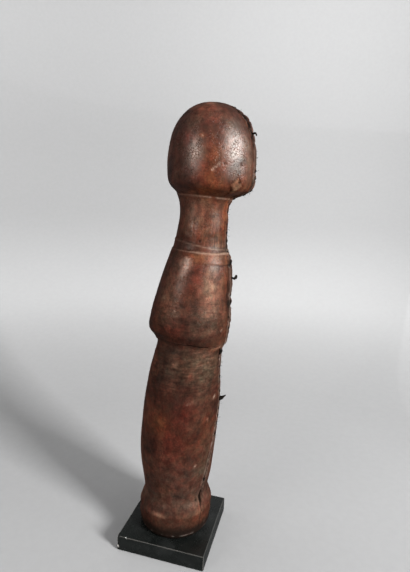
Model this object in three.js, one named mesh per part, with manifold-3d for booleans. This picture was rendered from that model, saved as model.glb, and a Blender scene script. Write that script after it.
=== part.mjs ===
// Leather-covered wooden doll on a black block. Millimetres, +Z up, the doll faces -Y.
// The origin is the centre of the block's underside.

import * as THREE from 'three';
import { mergeVertices } from 'three/addons/utils/BufferGeometryUtils.js';
import Module from 'manifold-3d';

const wasm = await Module();
wasm.setup();

// Block
const blockSide = 60;
const blockHeight = 10.8;
const blockEdgeBevel = 0.5;

// Splinters knocked off the block's corner and top edge: distances from the corner at +X, -Y
const blockChips = [
  { fromCorner: 0.4, belowTop: 0.2, radius: 1.5 },
  { fromCorner: 6.5, belowTop: 0, radius: 0.8 },
  { fromCorner: 0.2, belowTop: 5.6, radius: 1.3 },
];

// Clearance between pieces that touch
const pieceGap = 0.3;

// The doll's outline. Height is above the sole, and front and back are the distances
// of its two edges from the sole's centre. It leans back, so the back ones grow upwards.
const stations = [
  { name: 'sole', height: 0, front: 21.6, back: 22.6 },
  { name: 'footRim', height: 2.5, front: 23.2, back: 24.1 },
  { name: 'footRoll', height: 9, front: 24.4, back: 25.2 },
  { name: 'footRidge', height: 17, front: 23.9, back: 25.2 },
  { name: 'instep', height: 21.8, front: 23.2, back: 24.4 },
  { name: 'ankle', height: 27, front: 21.2, back: 22.4 },
  { name: 'shin', height: 41, front: 23.1, back: 24.6 },
  { name: 'calf', height: 57, front: 24.7, back: 26.1 },
  { name: 'thigh', height: 76, front: 23.7, back: 27.6 },
  { name: 'hip', height: 95, front: 21.5, back: 28.4 },
  { name: 'loin', height: 113, front: 18.2, back: 27.7 },
  { name: 'underWaist', height: 127, front: 14.6, back: 28.1 },
  { name: 'waist', height: 131, front: 14, back: 28.6 },
  { name: 'hem', height: 135, front: 16, back: 30.1 },
  { name: 'hemRoll', height: 140, front: 19.8, back: 31.5 },
  { name: 'belly', height: 150, front: 18.6, back: 32.5 },
  { name: 'chest', height: 166, front: 14.4, back: 32.3 },
  { name: 'shoulder', height: 180, front: 10, back: 32.2 },
  { name: 'collar', height: 192, front: 5, back: 29.2 },
  { name: 'neckBase', height: 200, front: 3.5, back: 28.5 },
  { name: 'neck', height: 210, front: 1.7, back: 28.5 },
  { name: 'neckTop', height: 219, front: 1.7, back: 28.5 },
  { name: 'chin', height: 225, front: 3.6, back: 31.4 },
  { name: 'jaw', height: 231, front: 8.6, back: 42.2 },
  { name: 'cheek', height: 243, front: 9.7, back: 43.7 },
];

// The skull above the cheeks is a dome, fuller in front than behind
const domeHeight = 35.8;
const domeFrontPower = 2.4;
const domeBackPower = 2.05;
const domeShift = 0.8;
const domeJoinLevel = 0.33;

// The rings tip back with the doll's lean, and the foot's tip forward
const leanTilt = { degrees: 3.4, starts: 60, full: 125, fadesBelowCheek: 14 };
const footTilt = { degrees: -3, starts: 6, full: 16, fades: 20, ends: 34 };

// The waist arches up at both flanks, under a narrow crease
const flankRise = 3.6;
const flankReach = 36;
const crease = { height: 133.8, depth: 1.4, width: 1 };

// Seam: its angle from straight behind, towards +X, and the two lips that it joins
const seamAngleAtSole = 30.5;
const seamStraightHeight = 100;
const seamAngleAtHead = 5;
const lipHeight = 0.9;
const lipOffset = 1.05;
const seamHalfWidth = 2.7;
const seamLeastRadius = 6;
const seamGrooveDepth = 0.1;
const seamRiseAtSole = 6;
const seamFadeAtCrown = 2.5;
const openSlits = [
  { height: 25.5, depth: 1.3, length: 6 },
  { height: 271, depth: 1.1, length: 3 },
];

// Whip stitches over the lips
const threadRadius = 0.5;
const stitchPitch = 7.2;
const stitchHalfWidth = 2.3;
const stitchTop = 1.7;
const stitchFoot = 0.25;
const stitchDepth = 1.5;
const seamStartHeight = 12;
const seamEndOnDome = 0.93;
const seamSamples = 1200;

// Loose thread ends: along is the share of the seam's length, and lift and climb aim them
const threadEnds = [
  { along: 0.305, length: 4.2, baseRadius: 0.95, tipRadius: 0.35, lift: 1, climb: 0.75 },
  { along: 0.59, length: 4, baseRadius: 0.45, tipRadius: 0.75, lift: 1, climb: 0.7 },
  { along: 0.935, length: 2.8, baseRadius: 0.75, tipRadius: 0.45, lift: 1, climb: -0.8 },
];

// Mesh fineness: rings lie closer together where the outline turns sharply
const ringSpacing = 5.6;
const fineZones = [
  { from: 0, to: 12, spacing: 3 },
  { from: 127, to: 137, spacing: 1.3 },
  { from: 137, to: 144, spacing: 2.6 },
  { from: 219, to: 234, spacing: 3 },
];
const domeRings = 9;
const plainColumns = 34;
const tubeSides = 4;

// Step in stations and radians over which the surface's directions are taken
const probeStep = 0.004;

const cheekIndex = stations.length - 1;
const cheek = stations[cheekIndex];

function ramp(low, high, value) {
  return THREE.MathUtils.smoothstep(value, low, high);
}

function bell(distance) {
  return Math.exp(-(distance ** 2));
}

function domeOutline(turn) {
  const level = Math.sin(turn);
  const reach = (cheek.front + cheek.back) / 2;
  const centre = (cheek.back - cheek.front) / 2 + domeShift * level;
  const frontShare = Math.max(0, 1 - level ** domeFrontPower) ** (1 / domeFrontPower);
  const backShare = Math.max(0, 1 - level ** domeBackPower) ** (1 / domeBackPower);
  return {
    height: cheek.height + domeHeight * level,
    front: reach * frontShare - centre,
    back: reach * backShare + centre,
  };
}

// The smooth curves pass one point up the dome, so that they meet it without a kink
const curveStations = [...stations, domeOutline(Math.asin(domeJoinLevel))];
const curveSpans = curveStations.length - 1;
const frontCurve = new THREE.CatmullRomCurve3(
  curveStations.map((station) => new THREE.Vector3(0, -station.front, station.height)),
  false,
  'catmullrom',
);
const backCurve = new THREE.CatmullRomCurve3(
  curveStations.map((station) => new THREE.Vector3(0, station.back, station.height)),
  false,
  'catmullrom',
);

// place counts stations from the sole to the cheek, and one more up to the crown
function outlineAt(place) {
  if (place > cheekIndex) {
    return domeOutline((place - cheekIndex) * Math.PI / 2);
  }
  const front = frontCurve.getPoint(place / curveSpans);
  const back = backCurve.getPoint(place / curveSpans);
  return { height: front.z, front: -front.y, back: back.y };
}

function tiltAt(height) {
  const fadeFrom = cheek.height - leanTilt.fadesBelowCheek;
  const lean = ramp(leanTilt.starts, leanTilt.full, height) * (1 - ramp(fadeFrom, cheek.height, height));
  const footEnd = ramp(footTilt.fades, footTilt.ends, height);
  const foot = ramp(footTilt.starts, footTilt.full, height) * (1 - footEnd);
  return THREE.MathUtils.degToRad(leanTilt.degrees * lean + footTilt.degrees * foot);
}

// Angles are measured from straight behind the doll, towards +X
function smoothPoint(place, angle) {
  const outline = outlineAt(place);
  const tilt = tiltAt(outline.height);
  const side = Math.sin(angle);
  const behind = Math.cos(angle);
  const nearWaist = 1 - ramp(0, flankReach, Math.abs(outline.height - crease.height));
  const creaseDepth = crease.depth * bell((outline.height - crease.height) / crease.width);
  const radius = (outline.front + outline.back) / 2 - creaseDepth;
  const centre = (outline.back - outline.front) / 2;
  return new THREE.Vector3(
    radius * side,
    centre + radius * behind * Math.cos(tilt),
    outline.height - radius * behind * Math.sin(tilt) + flankRise * nearWaist * side ** 2,
  );
}

function surfaceFrame(place, angle) {
  const below = Math.max(place - probeStep, 0);
  const above = Math.min(place + probeStep, cheekIndex + 1);
  const point = smoothPoint(place, angle);
  const along = smoothPoint(above, angle).sub(smoothPoint(below, angle)).normalize();
  const right = smoothPoint(place, angle + probeStep);
  const across = right.sub(smoothPoint(place, angle - probeStep)).normalize();
  const outward = across.clone().cross(along).multiplyScalar(-1).normalize();
  return { point, along, across, outward };
}

function seamAngle(height) {
  const twist = seamAngleAtSole * (1 - ramp(0, seamStraightHeight, height));
  const drift = seamAngleAtHead * ramp(seamStraightHeight, 2 * seamStraightHeight, height);
  return THREE.MathUtils.degToRad(twist + drift);
}

// Height of the leather's surface above the smooth form, by distance from the seam's line
function seamLift(height, offset) {
  const distance = Math.abs(offset);
  if (distance >= seamHalfWidth) {
    return 0;
  }
  const crownHeight = cheek.height + domeHeight;
  const crownFade = ramp(crownHeight - seamFadeAtCrown, crownHeight, height);
  const fade = ramp(0, seamRiseAtSole, height) * (1 - crownFade);
  if (distance > 0) {
    return fade * lipHeight;
  }
  const opened = openSlits.map((slit) => slit.depth * bell((height - slit.height) / slit.length));
  return -fade * Math.max(seamGrooveDepth, ...opened);
}

// Columns of the mesh: five across the seam, the rest spaced evenly round the body
function columnOffsets(radius) {
  const flatRadius = Math.max(radius, seamLeastRadius);
  const seam = [-seamHalfWidth, -lipOffset, 0, lipOffset, seamHalfWidth];
  const columns = seam.map((offset) => ({ angle: offset / flatRadius, offset }));
  const start = seamHalfWidth / flatRadius;
  const open = 2 * Math.PI - 2 * start;
  for (let i = 1; i < plainColumns; i += 1) {
    columns.push({ angle: start + open * i / plainColumns, offset: seamHalfWidth });
  }
  return columns;
}

function ringPlaces() {
  const places = [];
  for (let i = 0; i < cheekIndex; i += 1) {
    const span = stations[i + 1].height - stations[i].height;
    const middle = (stations[i + 1].height + stations[i].height) / 2;
    const zone = fineZones.find((fine) => middle > fine.from && middle < fine.to);
    const count = Math.max(1, Math.round(span / (zone ? zone.spacing : ringSpacing)));
    for (let k = 0; k < count; k += 1) {
      places.push(i + k / count);
    }
  }
  for (let k = 0; k < domeRings; k += 1) {
    places.push(cheekIndex + k / domeRings);
  }
  return places;
}

function bodyGeometry() {
  const positions = [];
  const index = [];
  const places = ringPlaces();
  let columnCount = 0;
  for (const place of places) {
    const outline = outlineAt(place);
    const columns = columnOffsets((outline.front + outline.back) / 2);
    columnCount = columns.length;
    for (const column of columns) {
      const angle = seamAngle(outline.height) + column.angle;
      const frame = surfaceFrame(place, angle);
      frame.point.addScaledVector(frame.outward, seamLift(outline.height, column.offset));
      positions.push(frame.point.x, frame.point.y, frame.point.z);
    }
  }
  for (let ring = 0; ring < places.length - 1; ring += 1) {
    for (let column = 0; column < columnCount; column += 1) {
      const next = (column + 1) % columnCount;
      const lower = ring * columnCount;
      const upper = lower + columnCount;
      index.push(lower + column, upper + column, lower + next);
      index.push(lower + next, upper + column, upper + next);
    }
  }
  const soleCentre = positions.length / 3;
  const sole = stations[0];
  positions.push(0, (sole.back - sole.front) / 2, 0);
  const crown = soleCentre + 1;
  const crownPoint = smoothPoint(cheekIndex + 1, 0);
  positions.push(crownPoint.x, crownPoint.y, crownPoint.z);
  const lastRing = (places.length - 1) * columnCount;
  for (let column = 0; column < columnCount; column += 1) {
    const next = (column + 1) % columnCount;
    index.push(soleCentre, column, next);
    index.push(crown, lastRing + next, lastRing + column);
  }
  const geometry = new THREE.BufferGeometry();
  geometry.setAttribute('position', new THREE.Float32BufferAttribute(positions, 3));
  geometry.setIndex(index);
  return geometry;
}

// The seam's line as a table of places by distance along it
function measureSeam() {
  const line = [];
  let length = 0;
  let previous = null;
  for (let i = 0; i <= seamSamples; i += 1) {
    const place = (cheekIndex + seamEndOnDome) * i / seamSamples;
    const outline = outlineAt(place);
    if (outline.height >= seamStartHeight) {
      const point = smoothPoint(place, seamAngle(outline.height));
      length += previous ? point.distanceTo(previous) : 0;
      line.push({ place, length });
      previous = point;
    }
  }
  return line;
}

const seamLine = measureSeam();
const seamLength = seamLine[seamLine.length - 1].length;

function seamFrame(distance) {
  const found = seamLine.find((sample) => sample.length >= distance) ?? seamLine[seamLine.length - 1];
  return surfaceFrame(found.place, seamAngle(outlineAt(found.place).height));
}

// Each stitch goes over the lips and back through the leather under them
function stitchPoints() {
  const corners = [
    { across: -stitchHalfWidth, lift: stitchFoot },
    { across: 0, lift: stitchTop },
    { across: stitchHalfWidth, lift: stitchFoot },
    { across: 0, lift: -stitchDepth },
  ];
  const count = Math.floor(seamLength / stitchPitch);
  const points = [];
  for (let i = 0; i < count * corners.length - 1; i += 1) {
    const corner = corners[i % corners.length];
    const frame = seamFrame((i + 1) * stitchPitch / corners.length);
    frame.point.addScaledVector(frame.across, corner.across);
    frame.point.addScaledVector(frame.outward, corner.lift);
    points.push(frame.point);
  }
  return points;
}

// A run of straight stretches with a section exactly at each point
class CornerPath extends THREE.Curve {
  constructor(points) {
    super();
    this.points = points;
  }

  getPoint(share, target = new THREE.Vector3()) {
    const position = share * (this.points.length - 1);
    const first = Math.min(Math.floor(position), this.points.length - 2);
    return target.copy(this.points[first]).lerp(this.points[first + 1], position - first);
  }

  getUtoTmapping(share) {
    return share;
  }
}

function sectionShape(radius, sides) {
  const corners = [];
  for (let i = 0; i < sides; i += 1) {
    const turn = 2 * Math.PI * i / sides;
    corners.push(new THREE.Vector2(radius * Math.cos(turn), radius * Math.sin(turn)));
  }
  return new THREE.Shape(corners);
}

function threadGeometry(points, radius) {
  return new THREE.ExtrudeGeometry(sectionShape(radius, tubeSides), {
    extrudePath: new CornerPath(points),
    steps: points.length - 1,
    bevelEnabled: false,
  });
}

// A loose end stands on the top of the stitch nearest to its place
function threadEndGeometry(end, swell) {
  const stitch = Math.round(end.along * seamLength / stitchPitch);
  const frame = seamFrame((stitch + 0.5) * stitchPitch);
  const direction = frame.outward.clone().multiplyScalar(end.lift).addScaledVector(frame.along, end.climb);
  direction.normalize();
  const foot = frame.point.clone().addScaledVector(frame.outward, stitchTop - threadRadius / 2);
  const geometry = new THREE.CylinderGeometry(
    end.tipRadius + swell,
    end.baseRadius + swell,
    end.length + 2 * swell,
    tubeSides,
  );
  const upright = new THREE.Vector3(0, 1, 0);
  geometry.applyQuaternion(new THREE.Quaternion().setFromUnitVectors(upright, direction));
  const middle = foot.addScaledVector(direction, end.length / 2);
  geometry.translate(middle.x, middle.y, middle.z);
  return geometry;
}

function toSolid(geometry) {
  const plain = geometry.index ? geometry.clone() : geometry;
  plain.deleteAttribute('normal');
  plain.deleteAttribute('uv');
  const merged = mergeVertices(plain, 1e-4);
  return new wasm.Manifold(new wasm.Mesh({
    numProp: 3,
    vertProperties: new Float32Array(merged.attributes.position.array),
    triVerts: new Uint32Array(merged.index.array),
  }));
}

function toGeometry(solid) {
  const mesh = solid.getMesh();
  const geometry = new THREE.BufferGeometry();
  geometry.setAttribute('position', new THREE.Float32BufferAttribute(mesh.vertProperties, 3));
  geometry.setIndex(Array.from(mesh.triVerts));
  return geometry;
}

function sewnThread(swell) {
  const stitches = toSolid(threadGeometry(stitchPoints(), threadRadius + swell));
  return threadEnds.reduce((solid, end) => solid.add(toSolid(threadEndGeometry(end, swell))), stitches);
}

function blockSolid() {
  const half = blockSide / 2 - blockEdgeBevel;
  const outline = new THREE.Shape([
    new THREE.Vector2(-half, -half),
    new THREE.Vector2(half, -half),
    new THREE.Vector2(half, half),
    new THREE.Vector2(-half, half),
  ]);
  const geometry = new THREE.ExtrudeGeometry(outline, {
    depth: blockHeight - 2 * blockEdgeBevel,
    bevelEnabled: true,
    bevelSize: blockEdgeBevel,
    bevelThickness: blockEdgeBevel,
    bevelSegments: 1,
  });
  geometry.translate(0, 0, blockEdgeBevel);
  return blockChips.reduce((solid, chip) => {
    const cut = new THREE.IcosahedronGeometry(chip.radius, 0);
    cut.translate(blockSide / 2, chip.fromCorner - blockSide / 2, blockHeight - chip.belowTop);
    return solid.subtract(toSolid(cut));
  }, toSolid(geometry));
}

const leather = new THREE.MeshStandardMaterial({ color: 0x5e2f20, roughness: 0.42, metalness: 0 });
const thread = new THREE.MeshStandardMaterial({ color: 0x1d1510, roughness: 0.8, metalness: 0 });
const blackPaint = new THREE.MeshStandardMaterial({ color: 0x1a1c1b, roughness: 0.5, metalness: 0 });

function namedMesh(name, solid, material) {
  const mesh = new THREE.Mesh(toGeometry(solid), material);
  mesh.name = name;
  return mesh;
}

const figure = new THREE.Group();
figure.position.z = blockHeight + pieceGap;
figure.add(namedMesh('doll', toSolid(bodyGeometry()).subtract(sewnThread(pieceGap)), leather));
figure.add(namedMesh('seam_thread', sewnThread(0), thread));

const model = new THREE.Group();
model.add(namedMesh('base_block', blockSolid(), blackPaint));
model.add(figure);

export default model;
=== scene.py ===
# Leather-covered wooden doll on a black block: its looks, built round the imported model.
import math

import bmesh
import bpy
import numpy as np
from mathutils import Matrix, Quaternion, Vector, noise


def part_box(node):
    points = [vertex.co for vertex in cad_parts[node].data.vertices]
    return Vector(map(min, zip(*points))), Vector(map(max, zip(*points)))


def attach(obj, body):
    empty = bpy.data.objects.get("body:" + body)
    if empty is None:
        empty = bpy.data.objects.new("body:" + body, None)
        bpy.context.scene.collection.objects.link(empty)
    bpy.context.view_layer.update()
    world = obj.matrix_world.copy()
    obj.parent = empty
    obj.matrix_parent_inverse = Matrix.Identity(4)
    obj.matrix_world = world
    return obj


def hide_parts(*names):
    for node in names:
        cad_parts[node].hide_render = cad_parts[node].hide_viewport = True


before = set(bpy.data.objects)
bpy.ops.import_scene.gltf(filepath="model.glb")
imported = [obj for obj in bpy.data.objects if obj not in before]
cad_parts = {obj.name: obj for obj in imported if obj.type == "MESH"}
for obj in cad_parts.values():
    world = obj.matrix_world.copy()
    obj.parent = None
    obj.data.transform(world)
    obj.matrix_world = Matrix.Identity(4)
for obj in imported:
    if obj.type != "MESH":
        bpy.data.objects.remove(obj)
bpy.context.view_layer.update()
mm = 0.001
print("frame loaded:", sorted(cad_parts))


# Small tools
def ramp(low, high, value):
    share = np.clip((value - low) / (high - low), 0, 1)
    return share * share * (3 - 2 * share)


def zone(limits, value):
    # limits say where it starts, is full, starts to fade and is gone
    starts, full, fades, ends = limits
    return ramp(starts, full, value) * (1 - ramp(fades, ends, value))


def bell(distance):
    return np.exp(-distance * distance)


def ridge(value, centre, width):
    return bell((value - centre) / width)


def wrapped(angle):
    return (angle + math.pi) % (2 * math.pi) - math.pi


def unit(vectors):
    return vectors / np.maximum(np.linalg.norm(vectors, axis=-1, keepdims=True), 1e-9)


def lumps(points, size, seed):
    # Smooth noise in -1 to 1. size is one number, or three for stretched lumps
    shifted = points / np.asarray(size) + seed * 7.31
    flat = shifted.reshape(-1, 3).tolist()
    return np.array([noise.noise(place) for place in flat]).reshape(points.shape[:-1])


def layered(points, layers):
    return sum(strength * lumps(points, size, seed) for strength, size, seed in layers)


def roundLine(corners, place):
    # A smooth line through the corners. place counts them
    corners = np.array(corners)
    knots = np.vstack([2 * corners[0] - corners[1], corners, 2 * corners[-1] - corners[-2]])
    index = np.clip(place.astype(int), 0, len(knots) - 4)
    t = (place - index)[:, None]
    a, b, c, d = (knots[index + k] for k in range(4))
    return 0.5 * (2 * b + (c - a) * t + (2 * a - 5 * b + 4 * c - d) * t**2 + (3 * b - a - 3 * c + d) * t**3)


def ringFaces(rings, sides, closed=True):
    # Quads between rings of points, then fans to a middle point of the first ring, and of the last
    grid = np.arange(rings * sides).reshape(rings, sides)
    after = np.roll(grid, -1, 1)
    faces = np.stack([grid[:-1], grid[1:], after[1:], after[:-1]], -1).reshape(-1, 4).tolist()
    middle = rings * sides
    faces += [(middle, a, b) for a, b in zip(grid[0].tolist(), after[0].tolist())]
    if closed:
        faces += [(middle + 1, b, a) for a, b in zip(grid[-1].tolist(), after[-1].tolist())]
    return faces


def addObject(name, data):
    made = bpy.data.objects.new(name, data)
    bpy.context.scene.collection.objects.link(made)
    return made


def shadeSmooth(mesh):
    mesh.polygons.foreach_set("use_smooth", [True] * len(mesh.polygons))


def meshObject(name, points, faces, material):
    # points in metres
    mesh = bpy.data.meshes.new(name)
    mesh.from_pydata(points, [], faces)
    shadeSmooth(mesh)
    mesh.materials.append(material)
    mesh.update()
    return addObject(name, mesh)


def addLayer(mesh, name, values, kind="FLOAT", field="value"):
    layer = mesh.attributes.new(name, kind, "POINT")
    layer.data.foreach_set(field, values.astype(np.float32).ravel())


def settle(piece):
    # The modifiers' result becomes the piece's own mesh
    graph = bpy.context.evaluated_depsgraph_get()
    mesh = bpy.data.meshes.new_from_object(piece.evaluated_get(graph))
    piece.modifiers.clear()
    piece.data = mesh


# Node tools. Where a value is a socket it is linked, and the tree is taken from it
def plug(inputs, values):
    for key, value in values.items():
        if isinstance(value, bpy.types.NodeSocket):
            value.id_data.links.new(value, inputs[key])
        else:
            inputs[key].default_value = value


def addNode(tree, kind, values, **settings):
    made = tree.nodes.new(kind)
    for key, value in settings.items():
        setattr(made, key, value)
    plug(made.inputs, values)
    return made


def result(tree, kind, values, output=0, **settings):
    return addNode(tree, kind, values, **settings).outputs[output]


def treeOf(*values):
    return next(value.id_data for value in values if isinstance(value, bpy.types.NodeSocket))


def reckon(operation, first, second=0.0, clamp=False):
    values = {0: first, 1: second}
    return result(treeOf(first, second), "ShaderNodeMath", values, operation=operation, use_clamp=clamp)


def plus(first, second, clamp=False):
    return reckon("ADD", first, second, clamp)


def minus(first, second):
    return reckon("SUBTRACT", first, second)


def times(first, second):
    return reckon("MULTIPLY", first, second)


def larger(first, second):
    return reckon("MAXIMUM", first, second)


def smaller(first, second):
    return reckon("MINIMUM", first, second)


def between(value, low, high, first=0.0, second=1.0):
    ends = {"Value": value, "From Min": low, "From Max": high, "To Min": first, "To Max": second}
    return result(value.id_data, "ShaderNodeMapRange", ends, interpolation_type="SMOOTHSTEP")


def vector(tree, **parts):
    return result(tree, "ShaderNodeCombineXYZ", parts)


def rgba(colour):
    return (*colour, 1.0)


def mixColour(share, first, second, blend="MIX"):
    values = {0: share, 6: first, 7: second}
    settings = {"data_type": "RGBA", "blend_type": blend, "clamp_factor": True}
    return result(treeOf(share, first, second), "ShaderNodeMix", values, 2, **settings)


def shaded(tone, shade, share=1.0):
    return mixColour(share, tone, shade, "MULTIPLY")


def noiseOf(place, size, detail, roughness, distortion=0.0, output="Fac"):
    # size in mm
    values = {"Vector": place, "Scale": 1 / (size * mm), "Detail": detail, "Roughness": roughness}
    values["Distortion"] = distortion
    return result(place.id_data, "ShaderNodeTexNoise", values, output)


def betweenSizes(value, low, high, *ends):
    # low and high in mm
    return between(value, low * mm, high * mm, *ends)


def stretched(place, up):
    return result(place.id_data, "ShaderNodeMapping", {"Vector": place, "Scale": (1.0, 1.0, up)})


def masked(tree, name):
    return result(tree, "ShaderNodeAttribute", {}, "Fac", attribute_name=name)


def bumped(height, strength, distance):
    # distance in mm
    values = {"Height": height, "Strength": strength, "Distance": distance * mm}
    return result(height.id_data, "ShaderNodeBump", values)


def newMaterial(name):
    material = bpy.data.materials.new(name)
    material.use_nodes = True
    tree = material.node_tree
    place = result(tree, "ShaderNodeTexCoord", {}, "Object")
    return material, tree.nodes["Principled BSDF"].inputs, place


# Camera, in mm. It looks at the doll's side, with the front to the left and the seam to the right
photoView = {
    "place": (260.0, 85.0, 230.5),
    "aim": (3.55, 16.77, 180.66),
    "roll": 2.295,
    "lens": 27.06,
    "nearest": 10.0,
}


def makeCamera():
    place, aim = (Vector(photoView[end]) * mm for end in ("place", "aim"))
    data = bpy.data.cameras.new("photo_camera")
    data.lens = photoView["lens"]
    data.clip_start = photoView["nearest"] * mm
    camera = addObject("photo_camera", data)
    camera.location = place
    level = (aim - place).to_track_quat("-Z", "Y")
    camera.rotation_mode = "QUATERNION"
    camera.rotation_quaternion = level @ Quaternion((0, 0, 1), math.radians(photoView["roll"]))
    bpy.context.scene.camera = camera


makeCamera()

# The doll's form in mm, as the solid has it
dollForm = {
    "stations": (  # height above the sole, and how far the front and back edges are from its centre
        (0.0, 21.6, 22.6), (2.5, 23.2, 24.1), (9.0, 24.4, 25.2),  # sole
        (17.0, 23.9, 25.2), (21.8, 23.2, 24.4), (27.0, 21.2, 22.4),  # foot ridge to ankle
        (41.0, 23.1, 24.6), (57.0, 24.7, 26.1), (76.0, 23.7, 27.6),  # calf
        (95.0, 21.5, 28.4), (113.0, 18.2, 27.7), (127.0, 14.6, 28.1),  # hip
        (131.0, 14.0, 28.6), (135.0, 16.0, 30.1), (140.0, 19.8, 31.5),  # waist and hem
        (150.0, 18.6, 32.5), (166.0, 14.4, 32.3), (180.0, 10.0, 32.2),  # belly to shoulder
        (192.0, 5.0, 29.2), (200.0, 3.5, 28.5),  # collar
        (210.0, 1.7, 28.5), (219.0, 1.7, 28.5),  # neck
        (225.0, 3.6, 31.4), (231.0, 8.6, 42.2), (243.0, 9.7, 43.7),  # chin to cheek
    ),
    "domeHeight": 35.8,
    "domePowers": (2.4, 2.05),  # front and back
    "domeShift": 0.8,
    "domeJoin": 0.33,
    "leans": ((3.4, (60.0, 125.0, 229.0, 243.0)), (-3.0, (6.0, 16.0, 20.0, 34.0))),  # degrees, heights
    "flankRise": 3.6,
    "flankReach": 36.0,
    "crease": (133.8, 1.4, 1.0),  # height, depth, width
    "soleFade": (-0.5, 1.5),  # the relief starts between these heights
    "rings": 392,
    "ringSamples": 6001,
    "fineRings": ((0.0, 4.0, 1.4), (131.0, 137.0, 2.2), (221.0, 228.0, 1.5), (186.0, 200.0, 1.2)),
    "columns": 250,
    "seamColumns": 44,
    "seamFan": 11.0,  # degrees each side of the seam that its columns share
}

# The sewn seam up the back, in mm and degrees from straight behind towards +X
seamForm = {
    "angleAtSole": 30.5,
    "straightFrom": 100.0,
    "angleAtHead": 5.0,
    "wander": (0.35, 6.1, 10.7, 1.3),  # degrees, and the two waves that make it
    "samples": 1600,
    "endOnDome": 0.93,
    "lipHeight": 0.7,
    "halfWidth": 3.3,
    "lipSlope": 1.3,
    "edgeLumps": ((0.5, (2.6, 2.6, 4.5), 23),),  # lumps are strength, size and seed
    "raggedLumps": ((0.6, (1.6, 1.6, 2.3), 21), (0.9, (4, 4, 6.5), 22)),
    "ragged": 0.6,
    "start": (2.0, 11.0),
    "belowCrown": (2.2, 0.3),
    "footPart": (18, 34, 0.75),  # heights between which the lips grow, and how much
    "fullCrown": (271, 4, 0.2),
    "firstStitch": 33.0,
    "sewnFrom": 29.0,
    "seed": 11,
    "pitch": 5.6,
    "jitter": 1.1,
    "lost": 0.14,
    "wornAway": (41.0, 58.0),  # heights between which no stitch is left
    "slant": 0.55,
    "slantReach": 3.0,
    "squeeze": (0.3, 0.9),  # depth and reach of the pinch at a stitch
    "holes": (0.5, 0.5, 0.55),  # depth, reach along the seam and across it
    "holeOffset": 2.1,
    "holeLumps": ((1.0, (5, 5, 7), 31),),
    "holeBreaks": (-0.5, 0.35),
    "ankleHoles": 0.5,
    "pucker": (0.13, 1.3, 2.6),  # depth, reach along the seam and beyond the holes
    "puckerFrom": (1.4, 2.4),
    "groove": (0.5, 0.36),
    "edgeWidth": 0.34,
    "edgeBreakLumps": ((1.0, (3, 3, 7), 24),),
    "edgeBreaks": (-0.25, 0.3),
    "flatness": (  # height, and how flat the lips and stitches lie there
        (30, 0.4), (36, 1.3), (50, 1.3), (64, 0.6), (125, 0.5), (130, 0.0), (197, 0.0), (202, 0.75),
        (220, 0.75), (226, 0.1), (240, 0.2), (256, 0.65), (280, 0.7),
    ),
    "flattest": 0.8,
    "slits": (  # height, depth, half length, half width
        (25.5, 1.9, 4.4, 1.1), (39.8, 0.7, 1.4, 0.5), (115.0, 0.7, 8.0, 0.3), (129.0, 1.2, 2.2, 0.6),
        (154.0, 0.7, 1.6, 0.4), (161.0, 0.9, 2.5, 0.5), (178.0, 0.8, 1.6, 0.5), (196.0, 0.9, 4.0, 0.6),
        (205.0, 0.6, 2.0, 0.4), (225.5, 0.9, 1.8, 0.6), (233.0, 0.7, 2.0, 0.5), (255.0, 0.6, 3.5, 0.35),
        (264.5, 0.9, 2.6, 0.5), (260.5, 1.1, 1.8, 0.6), (271.3, 1.7, 2.9, 0.8),
    ),
    "slitDeeper": 0.4,
    "slitBend": (0.45, 1.6),
    "slitPower": 0.7,
    "gaps": (  # where the near lip stands open, with painted shade in the opening: height, angle, half length, half width
        (271.4, 8.0, 2.7, 1.15), (265.0, 8.0, 2.4, 0.8), (260.5, 7.0, 1.8, 0.9), (258.0, 10.0, 1.3, 0.8),
        (254.2, 10.0, 1.1, 0.8), (233.0, 9.5, 2.0, 0.9), (196.5, 6.0, 3.4, 1.4), (186.3, 9.0, 2.2, 1.3),
        (161.0, 9.0, 2.2, 1.3), (173.0, 14.5, 2.6, 0.3), (167.0, 14.0, 2.4, 0.25), (152.5, 8.0, 0.9, 0.6),
    ),
    "gapDepth": 0.35,
    "gapPower": 0.5,
    "crownFrom": (248, 256),
    "topFrom": (256, 262),
    "lipStainFrom": (24, 50),
    "edgeShadeFrom": (30, 60),
    # How dark the painted shade is in gaps, groove, holes, along the lip edges and centre, and how pale the
    # lips are
    "stainAndShade": {
        "gaps": 1.2, "grooveFrom": (0.5, 1.0), "holes": 0.8, "edge": 0.85, "centre": 0.7, "centreWidth": 0.5,
        "edgeLessOnTorso": 0.5, "edgeLessOnCrown": 0.75, "centreLessOnTop": 0.45,
        "lipLessOnNeck": 0.7, "lipLessOnCrown": 0.6,
    },
    "farLip": (267.0, 7.5, 1.5, 0.12),  # crest on the far side: height, half length, rise, raggedness
    "farSide": (0.7, -0.1),
    "humps": (  # height, rise, half length
        (128.5, 0.5, 1.6), (150.0, 0.3, 3.0), (162.0, 0.45, 1.8), (171.0, 0.35, 3.5), (182.5, 0.6, 1.8),
        (187.0, 0.8, 1.8), (200.0, 0.35, 1.5), (236.0, 0.35, 2.5), (258.0, 0.4, 2.5), (267.8, 0.5, 1.6),
    ),
}

cheekIndex = len(dollForm["stations"]) - 1
cheek = dollForm["stations"][cheekIndex]
crownHeight = cheek[0] + dollForm["domeHeight"]
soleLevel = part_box("doll")[0].z / mm


def domeOutline(turn):
    level = np.sin(turn)
    reach = (cheek[1] + cheek[2]) / 2
    centre = (cheek[2] - cheek[1]) / 2 + dollForm["domeShift"] * level
    front, back = (reach * np.maximum(0, 1 - level**power) ** (1 / power) for power in dollForm["domePowers"])
    return np.stack([cheek[0] + dollForm["domeHeight"] * level, front - centre, back + centre], -1)


def outlineAt(place):
    # place counts stations up to the cheek, and one more to the crown
    join = domeOutline(np.array([math.asin(dollForm["domeJoin"])]))
    curve = roundLine(np.vstack([dollForm["stations"], join]), place)
    dome = domeOutline(np.clip(place - cheekIndex, 0, 1) * math.pi / 2)
    return np.where((place > cheekIndex)[:, None], dome, curve)


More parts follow.
